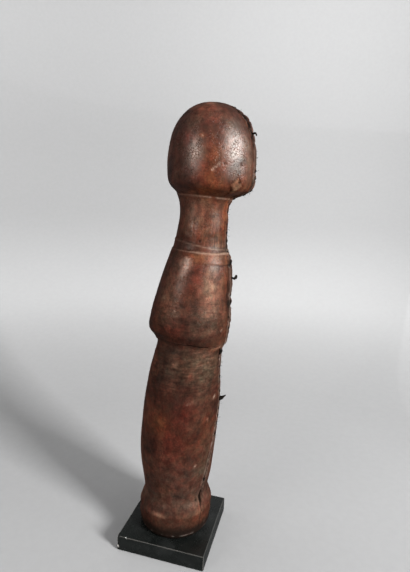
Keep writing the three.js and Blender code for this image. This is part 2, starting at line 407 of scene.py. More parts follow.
def smoothSurface(outline, angle):
    # One row of outline and of angle for each ring. Gives points in mm, and the rings' radii
    height, front, back = (outline[:, k, None] for k in range(3))
    creaseHeight, creaseDepth, creaseWidth = dollForm["crease"]
    lean = np.radians(sum(degrees * zone(limits, height) for degrees, limits in dollForm["leans"]))
    nearWaist = 1 - ramp(0, dollForm["flankReach"], np.abs(height - creaseHeight))
    radius = (front + back) / 2 - creaseDepth * ridge(height, creaseHeight, creaseWidth)
    side, behind = np.sin(angle), np.cos(angle)
    across = radius * side
    depth = (back - front) / 2 + radius * behind * np.cos(lean)
    up = height - radius * behind * np.sin(lean) + dollForm["flankRise"] * nearWaist * side**2
    return np.stack([across, depth, up], -1), radius


def seamAngle(height):
    straight = seamForm["straightFrom"]
    twist = seamForm["angleAtSole"] * (1 - ramp(0, straight, height))
    drift = seamForm["angleAtHead"] * ramp(straight, 2 * straight, height)
    degrees, shortWave, longWave, shift = seamForm["wander"]
    wander = degrees * (np.sin(height / shortWave) + np.sin(height / longWave + shift))
    return np.radians(twist + drift + wander)


def lengthAlong(points):
    return np.concatenate([[0], np.cumsum(np.linalg.norm(np.diff(points, axis=0), axis=1))])


def ringPlaces():
    fine = np.linspace(0, cheekIndex + 1, dollForm["ringSamples"])
    outline = outlineAt(fine)
    step = np.diff(lengthAlong(outline)) / math.sqrt(2)
    middle = (outline[1:, 0] + outline[:-1, 0]) / 2
    for low, high, closeness in dollForm["fineRings"]:
        step *= np.where((middle > low) & (middle < high), closeness, 1.0)
    length = np.concatenate([[0], np.cumsum(step)])
    count = dollForm["rings"]
    return np.interp(np.linspace(0, length[-1], count + 1)[:count], length, fine)


def columnAngles():
    # Close together at the seam, even round the rest
    fan = math.radians(dollForm["seamFan"])
    seamColumns = dollForm["seamColumns"]
    rest = dollForm["columns"] - seamColumns
    close = np.linspace(-fan, fan, seamColumns + 1)[:seamColumns]
    return np.concatenate([close, np.linspace(fan, 2 * math.pi - fan, rest + 1)[:rest]])


def seamTable():
    # Place, height and length along the seam, from the foot to the crown
    places = np.linspace(0, cheekIndex + seamForm["endOnDome"], seamForm["samples"])
    outline = outlineAt(places)
    points = smoothSurface(outline, seamAngle(outline[:, :1]))[0]
    return places, outline[:, 0], lengthAlong(points[:, 0])


def surfaceFrames(places, turn=0):
    # Points on the seam's line, with the directions along it, across it and out of the leather
    probe = 0.01
    outline = outlineAt(places)
    angle = seamAngle(outline[:, :1]) + turn
    points = smoothSurface(outline, angle)[0]
    along = smoothSurface(outlineAt(places + probe), angle)[0] - points
    across = smoothSurface(outline, angle + probe)[0] - points
    return points[:, 0], *(unit(way[:, 0]) for way in (along, across, np.cross(along, across)))


def flatnessAt(height):
    return np.interp(height, *np.array(seamForm["flatness"]).T)


seamPlaces, seamHeights, seamLengths = seamTable()


def stitchLengths():
    # Where the stitches cross the seam, as lengths along it. Some are worn away
    draw = np.random.default_rng(seamForm["seed"])
    first, low, high = np.interp((seamForm["firstStitch"], *seamForm["wornAway"]), seamHeights, seamLengths)
    middles = np.arange(first, seamLengths[-1] - seamForm["pitch"], seamForm["pitch"])
    middles += draw.uniform(-seamForm["jitter"], seamForm["jitter"], len(middles))
    middles = middles[draw.random(len(middles)) > seamForm["lost"]]
    return middles[(middles < low) | (middles > high)]


stitches = stitchLengths()

# Relief of the leather, in mm and degrees. Lumps are strength, size and seed
leatherForm = {
    "uneven": ((0.20, 27, 1), (0.13, 10.5, 2), (0.05, 5, 3)),
    "grain": ((1.0, 1.9, 4),),
    "grainDepth": 0.018,
    "wrinkles": ((1.0, (15, 15, 1.5), 5), (0.6, (7, 7, 0.95), 6)),
    "wrinkleDepths": {"lowerTorso": 0.085, "body": 0.06, "underWaist": 0.09},
    "pleats": ((0.21, (2.2, 2.2, 17), 7),),
    "dot": (198.3, 78.5),  # height and angle of the hole that the pleats fan out from
    "fan": {"count": 11, "depth": 0.2, "reach": 9, "clear": (0.6, 3), "above": (-0.5, 1.5)},
    "tucks": ((0.14, (1.3, 1.3, 12), 8),),
    "tuckPlace": (7, 4.5),  # beside the seam
    "besideSeam": (1.5, 5),
    "waves": ((0.35, 9, 9),),
    "tatters": ((1.0, (3, 3, 4.5), 12),),
    "slopes": ((3.8, 0.5), (10.9, 1.0), (3.1, 1.0)),  # neck, slanting band and collar, and how wavy
    "neckLap": (0.34, (211, 223.5, 224.5, 225.1)),  # rise, and the heights that it lies between
    "collarLap": (0.42, (178, 190, 191.8, 192.2)),
    "slantLap": 0.42,
    "slantTop": (196.1, 196.6),
    "slantFoot": (186, 192),
    "collarBand": 0.2,
    "bandTop": (191.8, 192.2),
    "bandFoot": (185.9, 186.7),
    "bandSlope": 0.06,
    "bandFrom": (-8, 12),
    "bandTones": {"amber": 0.35, "peachAndSheen": 0.12},
    "hem": (0.75, (133.5, 134.0, 134.6, 141)),
    "hemWave": 0.6,
    "hemSoftens": (95, 130, 0.55),  # between these angles, and by how much
    "hemGroove": (133.35, 0.45, 0.6),  # height, width, depth
    "footRidges": (  # height, width, rise and how wavy
        (17.0, 1.4, 0.38, 0.5), (22, 2.6, -0.45, 0), (11, 3, -0.15, 0), (3.3, 0.7, 0.28, 0),
    ),
    "flap": (230.8, 41.0, 4.2, 3.6, 0.8),  # height, angle, half height, half width, rise
    "flapLumps": ((0.5, 2.2, 10),),
    "flapEdge": (1.18, 0.84, 0.2),  # shares of its size where it ends and is full, and how ragged
    "flapSlope": (0.7, 0.3),
    "flapClear": (1.7, 1.15),
    "flapShade": (1.12, 0.1),
}

# Parts of the leather by height: where each starts, is full, starts to fade and is gone
zones = {
    "lowerTorso": (136, 144, 158, 176),
    "body": (58, 92, 129, 133),
    "underWaist": (98, 110, 129, 133),
    "wrinkledBody": (98, 108, 129, 133),
    "pleatedNeck": (193, 199, 217, 224),
    "tuckedShoulder": (157, 162, 172, 178),
    "torsoSeam": (138, 144, 178, 184),
    "neckSeam": (198, 204, 220, 226),
    "footSeam": (14, 24, 30, 80),
    "ankleSeam": (34, 38, 54, 62),
}

# Thin lines along the laps: height and half width. The edge lines carry painted highlight, the shade lines
# painted shade under the laps, and the sole rim a pale worn edge
lapLines = {
    "neckEdge": (224.55, 0.36),
    "collarEdge": (191.6, 0.35),
    "slantEdge": (196.0, 0.36),
    "neckShade": (225.4, 0.5),
    "collarShade": (192.6, 0.4),
    "slantShade": (196.9, 0.4),
    "bandShade": (186.1, 0.35),
    "soleRim": (3.2, 0.6),
}

# How the edges, lines and marks show in the finish, as ranges and as shares from 0 to 1
maskForm = {
    "torn": (0.1, 0.5),
    "neckTorn": (-0.5, 0.1),
    "rimTorn": (-0.3, 0.3),
    "rimSide": (85, 60),
    "rimShares": (0.3, 0.7),
    "lightSide": (60, 120),
    "upper": (125, 150),
    "lipCrest": (1.5, 0.7),
    "lipCrestFrom": (30, 60),
    "lipReach": (6.0, 3.6),
    "lipDulls": 0.92,
    "edgeWidens": 0.3,
    "slantFrom": (192, 193.2),
    "rawNicks": 0.8,
    # Painted highlight on lap edges and lip crests: share everywhere, and share more on the lit side or upper
    # body
    "rawAndLitEdges": {"crest": (0.1, 0.25), "neck": (0.15, 0.6), "collar": (0.12, 0.68), "slant": (0.12, 0.3)},
    "lipStain": 0.65,
    "footLip": 0.2,
    # Pale worn sole rim, and painted glints on the lips' crests
    "dryRim": 0.7,
    "lipGlint": 0.45,
    "lipGlintCrest": (2.0, 0.7),
    "shades": {"hem": 1.1, "neck": 0.35, "flap": 0.5, "band": 0.4, "collar": 0.35, "slant": 0.3},
    # Painted shade darkening the foot towards its underside: strength, and the heights between which it fades
    # out
    "soleShade": ((0.85, 0.6, 3.0), (0.9, 5.0, 12.0)),
    "torsoWrinkles": 0.55,
    "ribsFrom": (196.2, 197),
    "ribsTo": (201, 205),
    "ribSide": (36, 26),
    "neckRibs": 0.3,
}

# Marks: height, angle in degrees, reach in mm, and depth (pits) or rise (nicks)
leatherMarks = {
    "pits": (
        (259.0, 9, 0.6, 0.5), (257.6, 18, 0.7, 0.5), (254.6, 46, 0.55, 0.4), (242.2, 60, 0.6, 0.35),
        (242.0, 36, 0.65, 0.45), (232.4, 38.0, 0.8, 1.2), (198.3, 78.5, 0.65, 0.8), (127.6, -1, 1.0, 0.9),
        (48.7, 13, 0.8, 0.6), (54.6, 16, 0.5, 0.5), (51.2, 9, 0.5, 0.5), (39.8, 21, 1.0, 0.7),
        (25.5, 35, 0.9, 0.6), (96.0, 118, 0.6, 0.3), (250.0, 196, 0.7, 0.4), (88.0, 262, 0.7, 0.4),
        (206.0, 305, 0.7, 0.5), (158.0, 238, 0.7, 0.4),
    ),
    "nicks": (
        (241.8, 67, 0.8, 0.15), (240.4, 70, 0.8, 0.2), (238.8, 74, 0.6, 0.15), (256.7, 88, 0.5, 0.1),
        (156.8, 97.5, 0.6, 0.15), (143.8, 23, 0.7, 0.2), (99.0, 19.5, 1.2, 0.25), (53.6, 44.5, 0.8, 0.25),
        (222.0, 250, 1.1, 0.2), (70.0, 200, 1.3, 0.2),
    ),
    "nickTilt": 0.6,
    "nickHeight": 0.7,
    "scratches": (  # height and angle of both ends, half width, strength
        (238.4, 75, 240.7, 70.2, 0.45, 1.0), (97.4, 67, 98.6, 61, 0.5, 0.22),
        (176.0, 62, 174.6, 54, 0.3, 0.3), (262.0, 228, 257.0, 234, 0.35, 0.5),
    ),
    "scratchTaper": 0.55,
    "scratchDepth": 0.12,
}

# Broad patches of tone, from the head down: height, angle, half height and half width in mm, strength. Some
# of them are painted shade, highlight and sheen, as noted below
leatherTones = {
    "amber": (
        (244, 72, 12, 6.5, 0.65), (235.5, 70, 4.5, 8, 0.3), (231, 28, 6, 8, 0.35), (256.7, 88, 1.5, 1.5, 1.0),
        (232, 24, 6, 6, 0.4), (250, 235, 14, 12, 0.6), (217, 12, 9, 5.0, 0.8), (205, 20, 6, 3, 0.5),
        (212, 78, 13, 16, 0.32), (201, 34, 4, 8, 0.5), (188, 78, 3, 8, 0.6), (189, 24, 3, 7, 0.4),
        (167, 21, 9, 2.5, 0.25), (175, 30, 9, 4, 0.5), (178, 220, 14, 12, 0.5), (131.2, 24, 1.6, 4.5, 0.5),
        (83, 104, 7, 5, 0.45), (86, 34, 10, 5, 0.15), (70, 300, 16, 9, 0.4), (160, 108, 15, 8, 0.25),
        (227.5, 68, 4, 13, 0.8),
    ),
    "oxblood": (
        (238, 96, 9, 4, 0.4), (257, 106, 6, 5, 0.8), (268, 78, 8, 14, 0.4), (247, 78, 10, 3, 0.5),
        (236, 84, 7, 6, 0.6), (246, 300, 12, 10, 0.5), (204, 86, 4.5, 3, 1.0), (209.5, 9, 3, 3, 0.5),
        (178, 76, 12, 5, 0.7), (146, 94, 7, 8, 0.45), (150, 285, 12, 12, 0.5), (116.5, 66, 3.2, 2.2, 1.0),
        (96, 64, 10, 4, 0.3), (91, 71, 6, 5, 0.35), (70, 84, 16, 8, 0.5), (40, 230, 14, 12, 0.4),
        (12, 82, 3, 12, 0.15), (17.4, 97, 2.4, 9, 0.4),
    ),
    # Dark brown patches: part tone, part painted shade on the far left flank, under the jaw and hem, and
    # under the foot
    "umberAndShade": (
        (241, 77, 13, 5, 0.4), (247, 118, 14, 5, 0.35), (250, 100, 10, 6, 0.25), (240, 138, 18, 9, 0.3),
        (229, 112, 3, 8, 0.6), (262, 128, 9, 9, 0.3), (236.2, 82, 5, 5, 0.35), (240.7, 104.5, 5, 3, 0.2),
        (208, 126, 16, 9, 0.75), (200, 99, 3, 4, 0.4), (215, 66, 8, 1.6, 0.35), (197, 105, 4, 13, 0.65),
        (190.6, 94, 2.2, 4, 0.4), (190.9, 62, 1.8, 12, 0.4), (167, 28, 6, 2.5, 0.5), (160.5, 117, 6, 4, 0.3),
        (184, 78, 7, 3.5, 0.35), (160, 68, 7, 2.0, 0.6), (151, 76, 7, 9, 0.8), (130.2, 84, 2.6, 18, 0.8),
        (165, 142, 26, 8, 0.4), (136.5, 95, 4, 24, 0.65), (121, 65, 4, 4, 0.2), (116, 72, 8, 12, 0.5),
        (118, 128, 16, 9, 0.3), (98, 79, 15, 9.5, 0.95), (72, 77, 12, 8, 0.42), (91.4, 72.5, 4, 4, 0.25),
        (79.3, 98.5, 4, 3, 0.25), (92, 66, 14, 2.5, 0.5), (80, 142, 40, 8, 0.28), (40, 24, 3, 1.5, 0.8),
        (48.2, 29.5, 3, 3, 0.25), (9, 72, 3, 9, 0.35), (24.8, 32.5, 3, 6, 0.2), (4.5, 75, 3.4, 60, 1.0),
        (4.5, 255, 3.0, 60, 0.9), (28, 124, 10, 9, 0.85),
    ),
    # Olive grey patches: part tone, part painted sheen beside the highlights
    "oliveAndSheen": (
        (263, 104, 6, 5, 0.6), (264, 44, 5, 7, 0.4), (244, 20, 14, 5, 0.5), (200, 36, 4.5, 8, 0.5),
        (156, 104, 7, 7, 0.4), (149, 45, 7, 12, 0.45), (122, 70, 10, 20, 0.65), (108, 44, 12, 8, 0.4),
        (120, 32, 10, 8, 0.4), (60, 24, 16, 5, 0.5), (49, 32, 4, 5, 0.9), (11, 70, 6, 16, 0.25),
        (22, 60, 5, 12, 0.15),
    ),
    # Pale pink patches: part tone, part painted highlight and sheen on the shoulder, the torso's lit side,
    # the foot's ridge and beside the head's highlights
    "peachAndSheen": (
        (270, 74, 6, 9, 0.12), (244, 22, 12, 4.5, 0.22), (250, 45, 12, 8, 0.32), (213, 62, 12, 13, 0.18),
        (216, 92, 10, 5, 0.2), (195.5, 42, 2.2, 8, 0.3), (189.4, 42, 2.0, 9, 0.4), (144.2, 51, 3, 9, 0.2),
        (169, 48, 8, 6.4, 0.9), (178, 55, 7, 5, 0.3), (276, 80, 1.2, 2.4, 0.6), (156, 48, 3.5, 9, 0.45),
        (132.4, 20, 1.5, 4.0, 1.0), (130.6, 52, 2, 4, 0.2), (123.5, 49, 4, 4, 0.1), (124, 42, 5, 7, 0.14),
        (122.4, 92, 1.6, 1.8, 0.5), (98.7, 59, 1.6, 3.2, 0.2), (85, 31, 1.3, 1.0, 0.5), (90, 42, 4, 4, 0.1),
        (112, 93, 4, 4, 0.1), (82.8, 56, 4, 4, 0.08), (45, 79, 4, 4, 0.1), (35, 45, 4, 4, 0.12),
        (13, 98, 4, 8, 0.06), (17.4, 98, 1.3, 5.5, 0.6), (17.4, 42, 1.5, 8, 0.2), (26, 82, 5, 14, 0.06),
        (23, 36, 5, 6, 0.22), (184.8, 98, 3.4, 3.0, 0.75), (168, 110, 15, 8, 0.2), (163, 121, 2.5, 3, 0.2),
        (247, 95, 9, 5, 0.25),
    ),
}
sheens = (  # how smooth the leather is by height: height, gloss from 0 to 1
    (0, 0.0), (15.4, 0.04), (17.4, 0.11), (19.6, 0.04), (60, 0.06), (110, 0.07), (130, 0.1), (145, 0.15),
    (165, 0.27), (184, 0.42), (196, 0.36), (215, 0.40), (228, 0.56), (238, 0.95), (280, 0.9),
)
rubbedSpots = (  # more or less gloss: height, angle, half height and half width in mm, strength
    (240, 79, 15, 5.5, -0.42), (246, 122, 16, 6.0, -0.35), (184.8, 98, 3.6, 3.2, 0.62),
    (216, 101, 8, 3.5, 0.25), (199, 100, 5, 9, -0.3), (200, 40, 5, 9, -0.25), (172, 104, 7, 2.5, 0.15),
    (244.5, 105, 8, 3, -0.3), (238, 91, 4, 5, -0.3), (256.7, 51, 3, 4, -0.2), (244.8, 38.5, 4, 3.5, 0.25),
    (238.8, 47.5, 3.5, 4, -0.3), (190.5, 70, 2.2, 22, -0.3), (190.5, 96, 2.6, 6, -0.4),
    (181.5, 104.5, 3, 2.5, -0.15),
)


def spot(height, angle, radius, atHeight, atAngle, tall, wide):
    turn = wrapped(angle - math.radians(atAngle))
    return bell(np.hypot((height - atHeight) / tall, turn * radius / wide))


def spots(height, angle, radius, rows):
    return sum(row[-1] * spot(height, angle, radius, *row[:-1]) for row in rows)


def fromStitch(length):
    # Distance along the seam to the nearest stitch
    order = np.sort(stitches)
    index = np.clip(np.searchsorted(order, length), 1, len(order) - 1)
    return np.minimum(np.abs(length - order[index - 1]), np.abs(length - order[index]))


def seamRelief(ringHeight, part, points, radius, offset):
    # Two lips pulled together by the stitches, with a groove between them. Gives their lift, the lips' paler
    # tone, and painted shade with some dirt in the openings and along the edges
    form = seamForm
    distance = np.abs(offset)
    length = np.interp(ringHeight, seamHeights, seamLengths)
    nearest = fromStitch(length - np.clip(offset, -form["slantReach"], form["slantReach"]) * form["slant"])
    sewn = ramp(form["sewnFrom"], form["firstStitch"], ringHeight)
    fade = zone((*form["start"], *(crownHeight - below for below in form["belowCrown"])), ringHeight)
    lipStarts, lipFull, lipGrowth = form["footPart"]
    crownMiddle, crownReach, crownGrowth = form["fullCrown"]
    footPart = 1 - lipGrowth * (1 - ramp(lipStarts, lipFull, ringHeight))
    footPart += crownGrowth * ridge(ringHeight, crownMiddle, crownReach)
    edge = form["halfWidth"] + layered(points, form["edgeLumps"])
    lip = ramp(edge, edge - form["lipSlope"], distance) * footPart
    ragged = layered(points, form["raggedLumps"])
    height = form["lipHeight"] * (1 + form["ragged"] * ragged)
    for humpHeight, rise, reach in form["humps"]:
        height += rise * ridge(ringHeight, humpHeight, reach)
    height *= 1 - form["flattest"] * flatnessAt(ringHeight)
    crestHeight, crestReach, crestRise, crestRagged = form["farLip"]
    crest = crestRise * (1 + crestRagged * ragged) * ridge(ringHeight, crestHeight, crestReach)
    pinch, pinchReach = form["squeeze"]
    pinched = pinch * bell(nearest / pinchReach) * sewn
    lift = lip * fade * (height + crest * ramp(*form["farSide"], offset) - pinched)
    grooveDepth, grooveWidth = form["groove"]
    groove = grooveDepth * footPart * bell(distance / grooveWidth)
    bendReach, bendLength = form["slitBend"]
    for slitHeight, depth, tall, wide in form["slits"]:
        bend = bendReach * np.sin((ringHeight - slitHeight) / bendLength)
        reach = ridge(ringHeight, slitHeight, tall) ** form["slitPower"]
        groove = np.maximum(groove, (form["slitDeeper"] + depth) * reach * ridge(offset, bend, wide))
    lift -= fade * groove
    # Thread holes and the leather drawn in round them
    holes = np.zeros_like(lift)
    holeDepth, holeAlong, holeAcross = form["holes"]
    for aside in (-form["holeOffset"], form["holeOffset"]):
        along = fromStitch(length - aside * form["slant"])
        holes += bell(along / holeAlong) * ridge(offset, aside, holeAcross)
    holes *= sewn * fade * ramp(*form["holeBreaks"], layered(points, form["holeLumps"]))
    holes *= 1 - form["ankleHoles"] * part["ankleSeam"]
    beyond = np.maximum(distance - form["holeOffset"], 0)
    puckerDepth, puckerAlong, puckerAcross = form["pucker"]
    pucker = bell(nearest / puckerAlong) * np.exp(-beyond / puckerAcross) * sewn * fade
    lift -= holeDepth * holes + puckerDepth * pucker * ramp(*form["puckerFrom"], distance)
    opened = np.zeros_like(lift)
    for gapHeight, gapAngle, tall, wide in form["gaps"]:
        aside = offset + (seamAngle(ringHeight) - math.radians(gapAngle)) * radius
        reach = ridge(ringHeight, gapHeight, tall) ** form["gapPower"]
        opened = np.maximum(opened, reach * bell(aside / wide))
    lift -= form["gapDepth"] * opened
    # Painted shade, with some dirt, in the openings, groove and holes, painted shadow along the lips' edges,
    # and paler lips
    starts = ("crownFrom", "topFrom", "lipStainFrom", "edgeShadeFrom")
    onCrown, onTop, lipStained, edgeShaded = (ramp(*form[name], ringHeight) for name in starts)
    stainAndShade = form["stainAndShade"]
    edgeLine = ridge(distance, edge, form["edgeWidth"]) * edgeShaded
    edgeLine *= ramp(*form["edgeBreaks"], layered(points, form["edgeBreakLumps"]))
    edgeLine *= 1 - stainAndShade["edgeLessOnTorso"] * part["torsoSeam"] - stainAndShade["edgeLessOnCrown"] * onCrown
    centreLine = (stainAndShade["centre"] - stainAndShade["centreLessOnTop"] * onTop) * bell(distance / stainAndShade["centreWidth"])
    lipShare = 1 - stainAndShade["lipLessOnNeck"] * part["neckSeam"] - stainAndShade["lipLessOnCrown"] * onCrown
    lipStain = lip * fade * lipStained * lipShare
    dirt = ramp(*stainAndShade["grooveFrom"], groove) + stainAndShade["holes"] * holes + centreLine + stainAndShade["edge"] * edgeLine
    return lift, lipStain, stainAndShade["gaps"] * opened + fade * dirt


def markRelief(height, angle, radius):
    # Pits, nicks and scratches: their lift, and a mask of each
    lift, pits, nicks, scratches = np.zeros((4, *angle.shape))
    for atHeight, atAngle, reach, depth in leatherMarks["pits"]:
        field = spot(height, angle, radius, atHeight, atAngle, reach, reach)
        lift -= depth * field
        pits = np.maximum(pits, field)
    for atHeight, atAngle, reach, rise in leatherMarks["nicks"]:
        tilted = height + leatherMarks["nickTilt"] * (angle - math.radians(atAngle)) * radius
        field = spot(tilted, angle, radius, atHeight, atAngle, leatherMarks["nickHeight"] * reach, reach)
        lift += rise * field
        nicks = np.maximum(nicks, field)
    for firstHeight, firstAngle, lastHeight, lastAngle, width, strength in leatherMarks["scratches"]:
        rise = lastHeight - firstHeight
        run = math.radians(lastAngle - firstAngle) * radius
        up = height - firstHeight
        aside = (angle - math.radians(firstAngle)) * radius
        share = np.clip((up * rise + aside * run) / (rise**2 + run**2), 0, 1)
        off = np.hypot(up - share * rise, aside - share * run)
        taper = 1 - leatherMarks["scratchTaper"] * share
        scratches = np.maximum(scratches, strength * taper * bell(off / (width * taper)))
    return lift - leatherMarks["scratchDepth"] * scratches, pits, nicks, scratches


def leatherRelief(outline, points, angle, radius, offset):
    # Lift of the leather off the smooth form in mm, and the masks that its finish reads
    form = leatherForm
    ringHeight = np.broadcast_to(outline[:, :1], angle.shape)
    part = {name: zone(limits, ringHeight) for name, limits in zones.items()}
    height = points[..., 2]
    behind = radius * np.cos(angle)
    distance = np.abs(offset)
    awayFromSeam = ramp(*form["besideSeam"], distance)

    # The carved wood under the leather is a little uneven, and the hide is wrinkled over it
    grain = layered(points, form["grain"])
    lift = layered(points, form["uneven"]) + form["grainDepth"] * grain
    depths = sum(depth * part[name] for name, depth in form["wrinkleDepths"].items())
    lift += layered(points, form["wrinkles"]) * awayFromSeam * depths

    # Neck pleats run upright and fan out above a small dark hole
    lift += layered(points, form["pleats"]) * part["pleatedNeck"] * awayFromSeam
    fan = form["fan"]
    dotHeight, dotAngle = form["dot"]
    dotAcross = wrapped(angle - math.radians(dotAngle)) * radius
    dotUp = height - dotHeight
    fromDot = np.hypot(dotAcross, dotUp)
    rays = np.sin(np.arctan2(dotAcross, dotUp) * fan["count"]) * ramp(*fan["clear"], fromDot)
    lift += fan["depth"] * rays * np.exp(-fromDot / fan["reach"]) * ramp(*fan["above"], dotUp)
    # Short upright tucks beside the seam on the shoulder
    lift += layered(points, form["tucks"]) * part["tuckedShoulder"] * ridge(offset, *form["tuckPlace"])

    # Laps: the neck cover over the head's, a slanting band, the torso's double edge, its hem
    wave = layered(points, form["waves"])
    neckLevel, slantLevel, collarLevel = (
        height + behind * math.sin(math.radians(slope)) + wave * share for slope, share in form["slopes"]
    )
    for name, level in (("neckLap", neckLevel), ("collarLap", collarLevel)):
        rise, limits = form[name]
        lift += rise * zone(limits, level)
    slantBand = (1 - ramp(*form["slantTop"], slantLevel)) * ramp(*form["slantFoot"], collarLevel)
    lift += form["slantLap"] * slantBand
    bandLevel = collarLevel + form["bandSlope"] * behind
    onBand = ramp(*form["bandFrom"], behind)
    collarBand = (1 - ramp(*form["bandTop"], collarLevel)) * ramp(*form["bandFoot"], bandLevel) * onBand
    lift += form["collarBand"] * collarBand
    creaseHeight, creaseDepth, creaseWidth = dollForm["crease"]
    lift += creaseDepth * ridge(ringHeight, creaseHeight, creaseWidth)
    degrees = np.degrees(angle) % 360
    hemLevel = ringHeight + form["hemWave"] * wave
    softStarts, softFull, softness = form["hemSoftens"]
    hemSharp = 1 - softness * ramp(softStarts, softFull, degrees)
    hemHeight, hemWidth, hemDepth = form["hemGroove"]
    hemGroove = ridge(hemLevel, hemHeight, hemWidth) * hemSharp
    rise, limits = form["hem"]
    lift += rise * hemSharp * zone(limits, hemLevel) - hemDepth * hemGroove

    # The foot's worn ridge and the hard edge of its sole
    for atHeight, width, rise, waviness in form["footRidges"]:
        lift += rise * ridge(ringHeight - waviness * wave, atHeight, width)

    # Marks, and the torn tongue of leather at the jaw
    markLift, pits, nicks, scratches = markRelief(height, angle, radius)
    flapHeight, flapAngle, flapTall, flapWide, flapRise = form["flap"]
    flapUp = (height - flapHeight) / flapTall
    flapReach = np.abs(flapUp) + np.abs((angle - math.radians(flapAngle)) * radius / flapWide)
    flapEnds, flapFull, flapRagged = form["flapEdge"]
    flap = ramp(flapEnds, flapFull, flapReach + flapRagged * grain)
    flapMiddle, flapSlope = form["flapSlope"]
    flapForm = flapMiddle + layered(points, form["flapLumps"]) - flapSlope * flapUp
    lift += markLift + flapRise * flap * flapForm

    sewing, lipStain, seamGrimeAndShade = seamRelief(ringHeight, part, points, radius, offset)
    lift += sewing

    show = maskForm
    tatters = layered(points, form["tatters"])
    torn = ramp(*show["torn"], tatters)
    lightSide = 1 - ramp(*show["lightSide"], degrees)
    onUpper = ramp(*show["upper"], ringHeight)
    lipCrest = ridge(distance, *show["lipCrest"]) * ramp(*show["lipCrestFrom"], ringHeight) * torn
    rimLess, rimMore = show["rimShares"]
    soleRim = ridge(ringHeight, *lapLines["soleRim"]) * ramp(*show["rimTorn"], tatters)
    soleRim *= rimLess + rimMore * ridge(degrees, *show["rimSide"])
    edgeHeight, edgeWidth = lapLines["collarEdge"]
    # Lap edges and lip crests painted lighter as highlight, more on the side the lamps light
    edges = {
        "neck": ridge(neckLevel, *lapLines["neckEdge"]) * ramp(*show["neckTorn"], tatters),
        "collar": ridge(collarLevel, edgeHeight, edgeWidth + show["edgeWidens"] * lightSide),
        "slant": ridge(slantLevel, *lapLines["slantEdge"]) * ramp(*show["slantFrom"], collarLevel),
        "crest": lipCrest,
    }
    # Painted shade under the laps, in the hem's groove and round the flap's edge
    shades = {
        "neck": ridge(neckLevel, *lapLines["neckShade"]),
        "collar": ridge(collarLevel, *lapLines["collarShade"]),
        "slant": ridge(slantLevel, *lapLines["slantShade"]),
        "band": ridge(bandLevel, *lapLines["bandShade"]) * onBand,
        "flap": ridge(flapReach, *form["flapShade"]),
        "hem": hemGroove,
    }
    gloss = np.interp(ringHeight, *np.array(sheens, float).T) + spots(height, angle, radius, rubbedSpots)
    unreached = np.maximum(ramp(*show["lipReach"], distance), ramp(*form["flapClear"], flapReach))
    ribbed = ramp(*show["ribsFrom"], slantLevel) * (1 - ramp(*show["ribsTo"], ringHeight))
    ribbed *= ridge(degrees, *show["ribSide"])
    masks = {name: spots(height, angle, radius, rows) for name, rows in leatherTones.items()}
    for name, share in form["bandTones"].items():
        masks[name] += share * collarBand
    # Raw leather at nicks and scratches, with painted highlight on the lap edges and lip crests
    masks["rawAndLit"] = show["rawNicks"] * nicks + scratches
    for name, (less, more) in show["rawAndLitEdges"].items():
        masks["rawAndLit"] += (less + more * (onUpper if name == "crest" else lightSide)) * edges[name]
    masks["flap"] = flap * (1 - pits)
    masks["lip"] = show["lipStain"] * lipStain + show["footLip"] * part["footSeam"]
    # Pale worn rim along the sole, and painted glints on the lips' crests
    masks["paleRimAndGlint"] = show["dryRim"] * soleRim
    masks["paleRimAndGlint"] += show["lipGlint"] * lipStain * ridge(distance, *show["lipGlintCrest"]) * torn
    # Near black: painted shade with some dirt in pits, seam openings, grooves and holes, under the laps, the
    # hem and the flap's edge, and towards the foot's underside; the sole's pale rim is kept clear
    masks["grimeAndShade"] = pits + seamGrimeAndShade - soleRim + sum(show["shades"][name] * shades[name] for name in shades)
    for strength, starts, ends in show["soleShade"]:
        masks["grimeAndShade"] += strength * (1 - ramp(starts, ends, ringHeight))
    masks["polish"] = np.maximum(gloss, 0) * (1 - show["lipDulls"] * unreached)
    masks["wrinkled"] = np.maximum(show["torsoWrinkles"] * part["lowerTorso"], part["wrinkledBody"])
    masks["ribbed"] = np.maximum(ribbed, show["neckRibs"] * part["pleatedNeck"])
    return lift, {name: np.clip(mask, 0, 1) for name, mask in masks.items()}


def outwardOf(points):
    across = np.roll(points, -1, axis=1) - np.roll(points, 1, axis=1)
    return unit(np.cross(np.gradient(points, axis=0), across))


def makeLeather(material):
    outline = outlineAt(ringPlaces())
    fromSeam = columnAngles()[None, :]
    angle = seamAngle(outline[:, :1]) + fromSeam
    points, radius = smoothSurface(outline, angle)
    offset = wrapped(fromSeam) * radius
    radius = np.broadcast_to(radius, angle.shape)
    lift, masks = leatherRelief(outline, points, angle, radius, offset)
    lift *= ramp(*dollForm["soleFade"], outline[:, :1])
    surface = points + lift[..., None] * outwardOf(points)
    crown = smoothSurface(outlineAt(np.array([cheekIndex + 1.0])), np.zeros((1, 1)))[0][0, 0]
    vertices = np.vstack([surface.reshape(-1, 3), surface[0].mean(axis=0), crown])
    vertices[:, 2] += soleLevel
    piece = meshObject("leather_doll", (vertices * mm).tolist(), ringFaces(*angle.shape), material)
    for name, mask in masks.items():
        addLayer(piece.data, name, np.concatenate([mask.ravel(), [mask[0].mean(), mask[-1].mean()]]))
    return piece


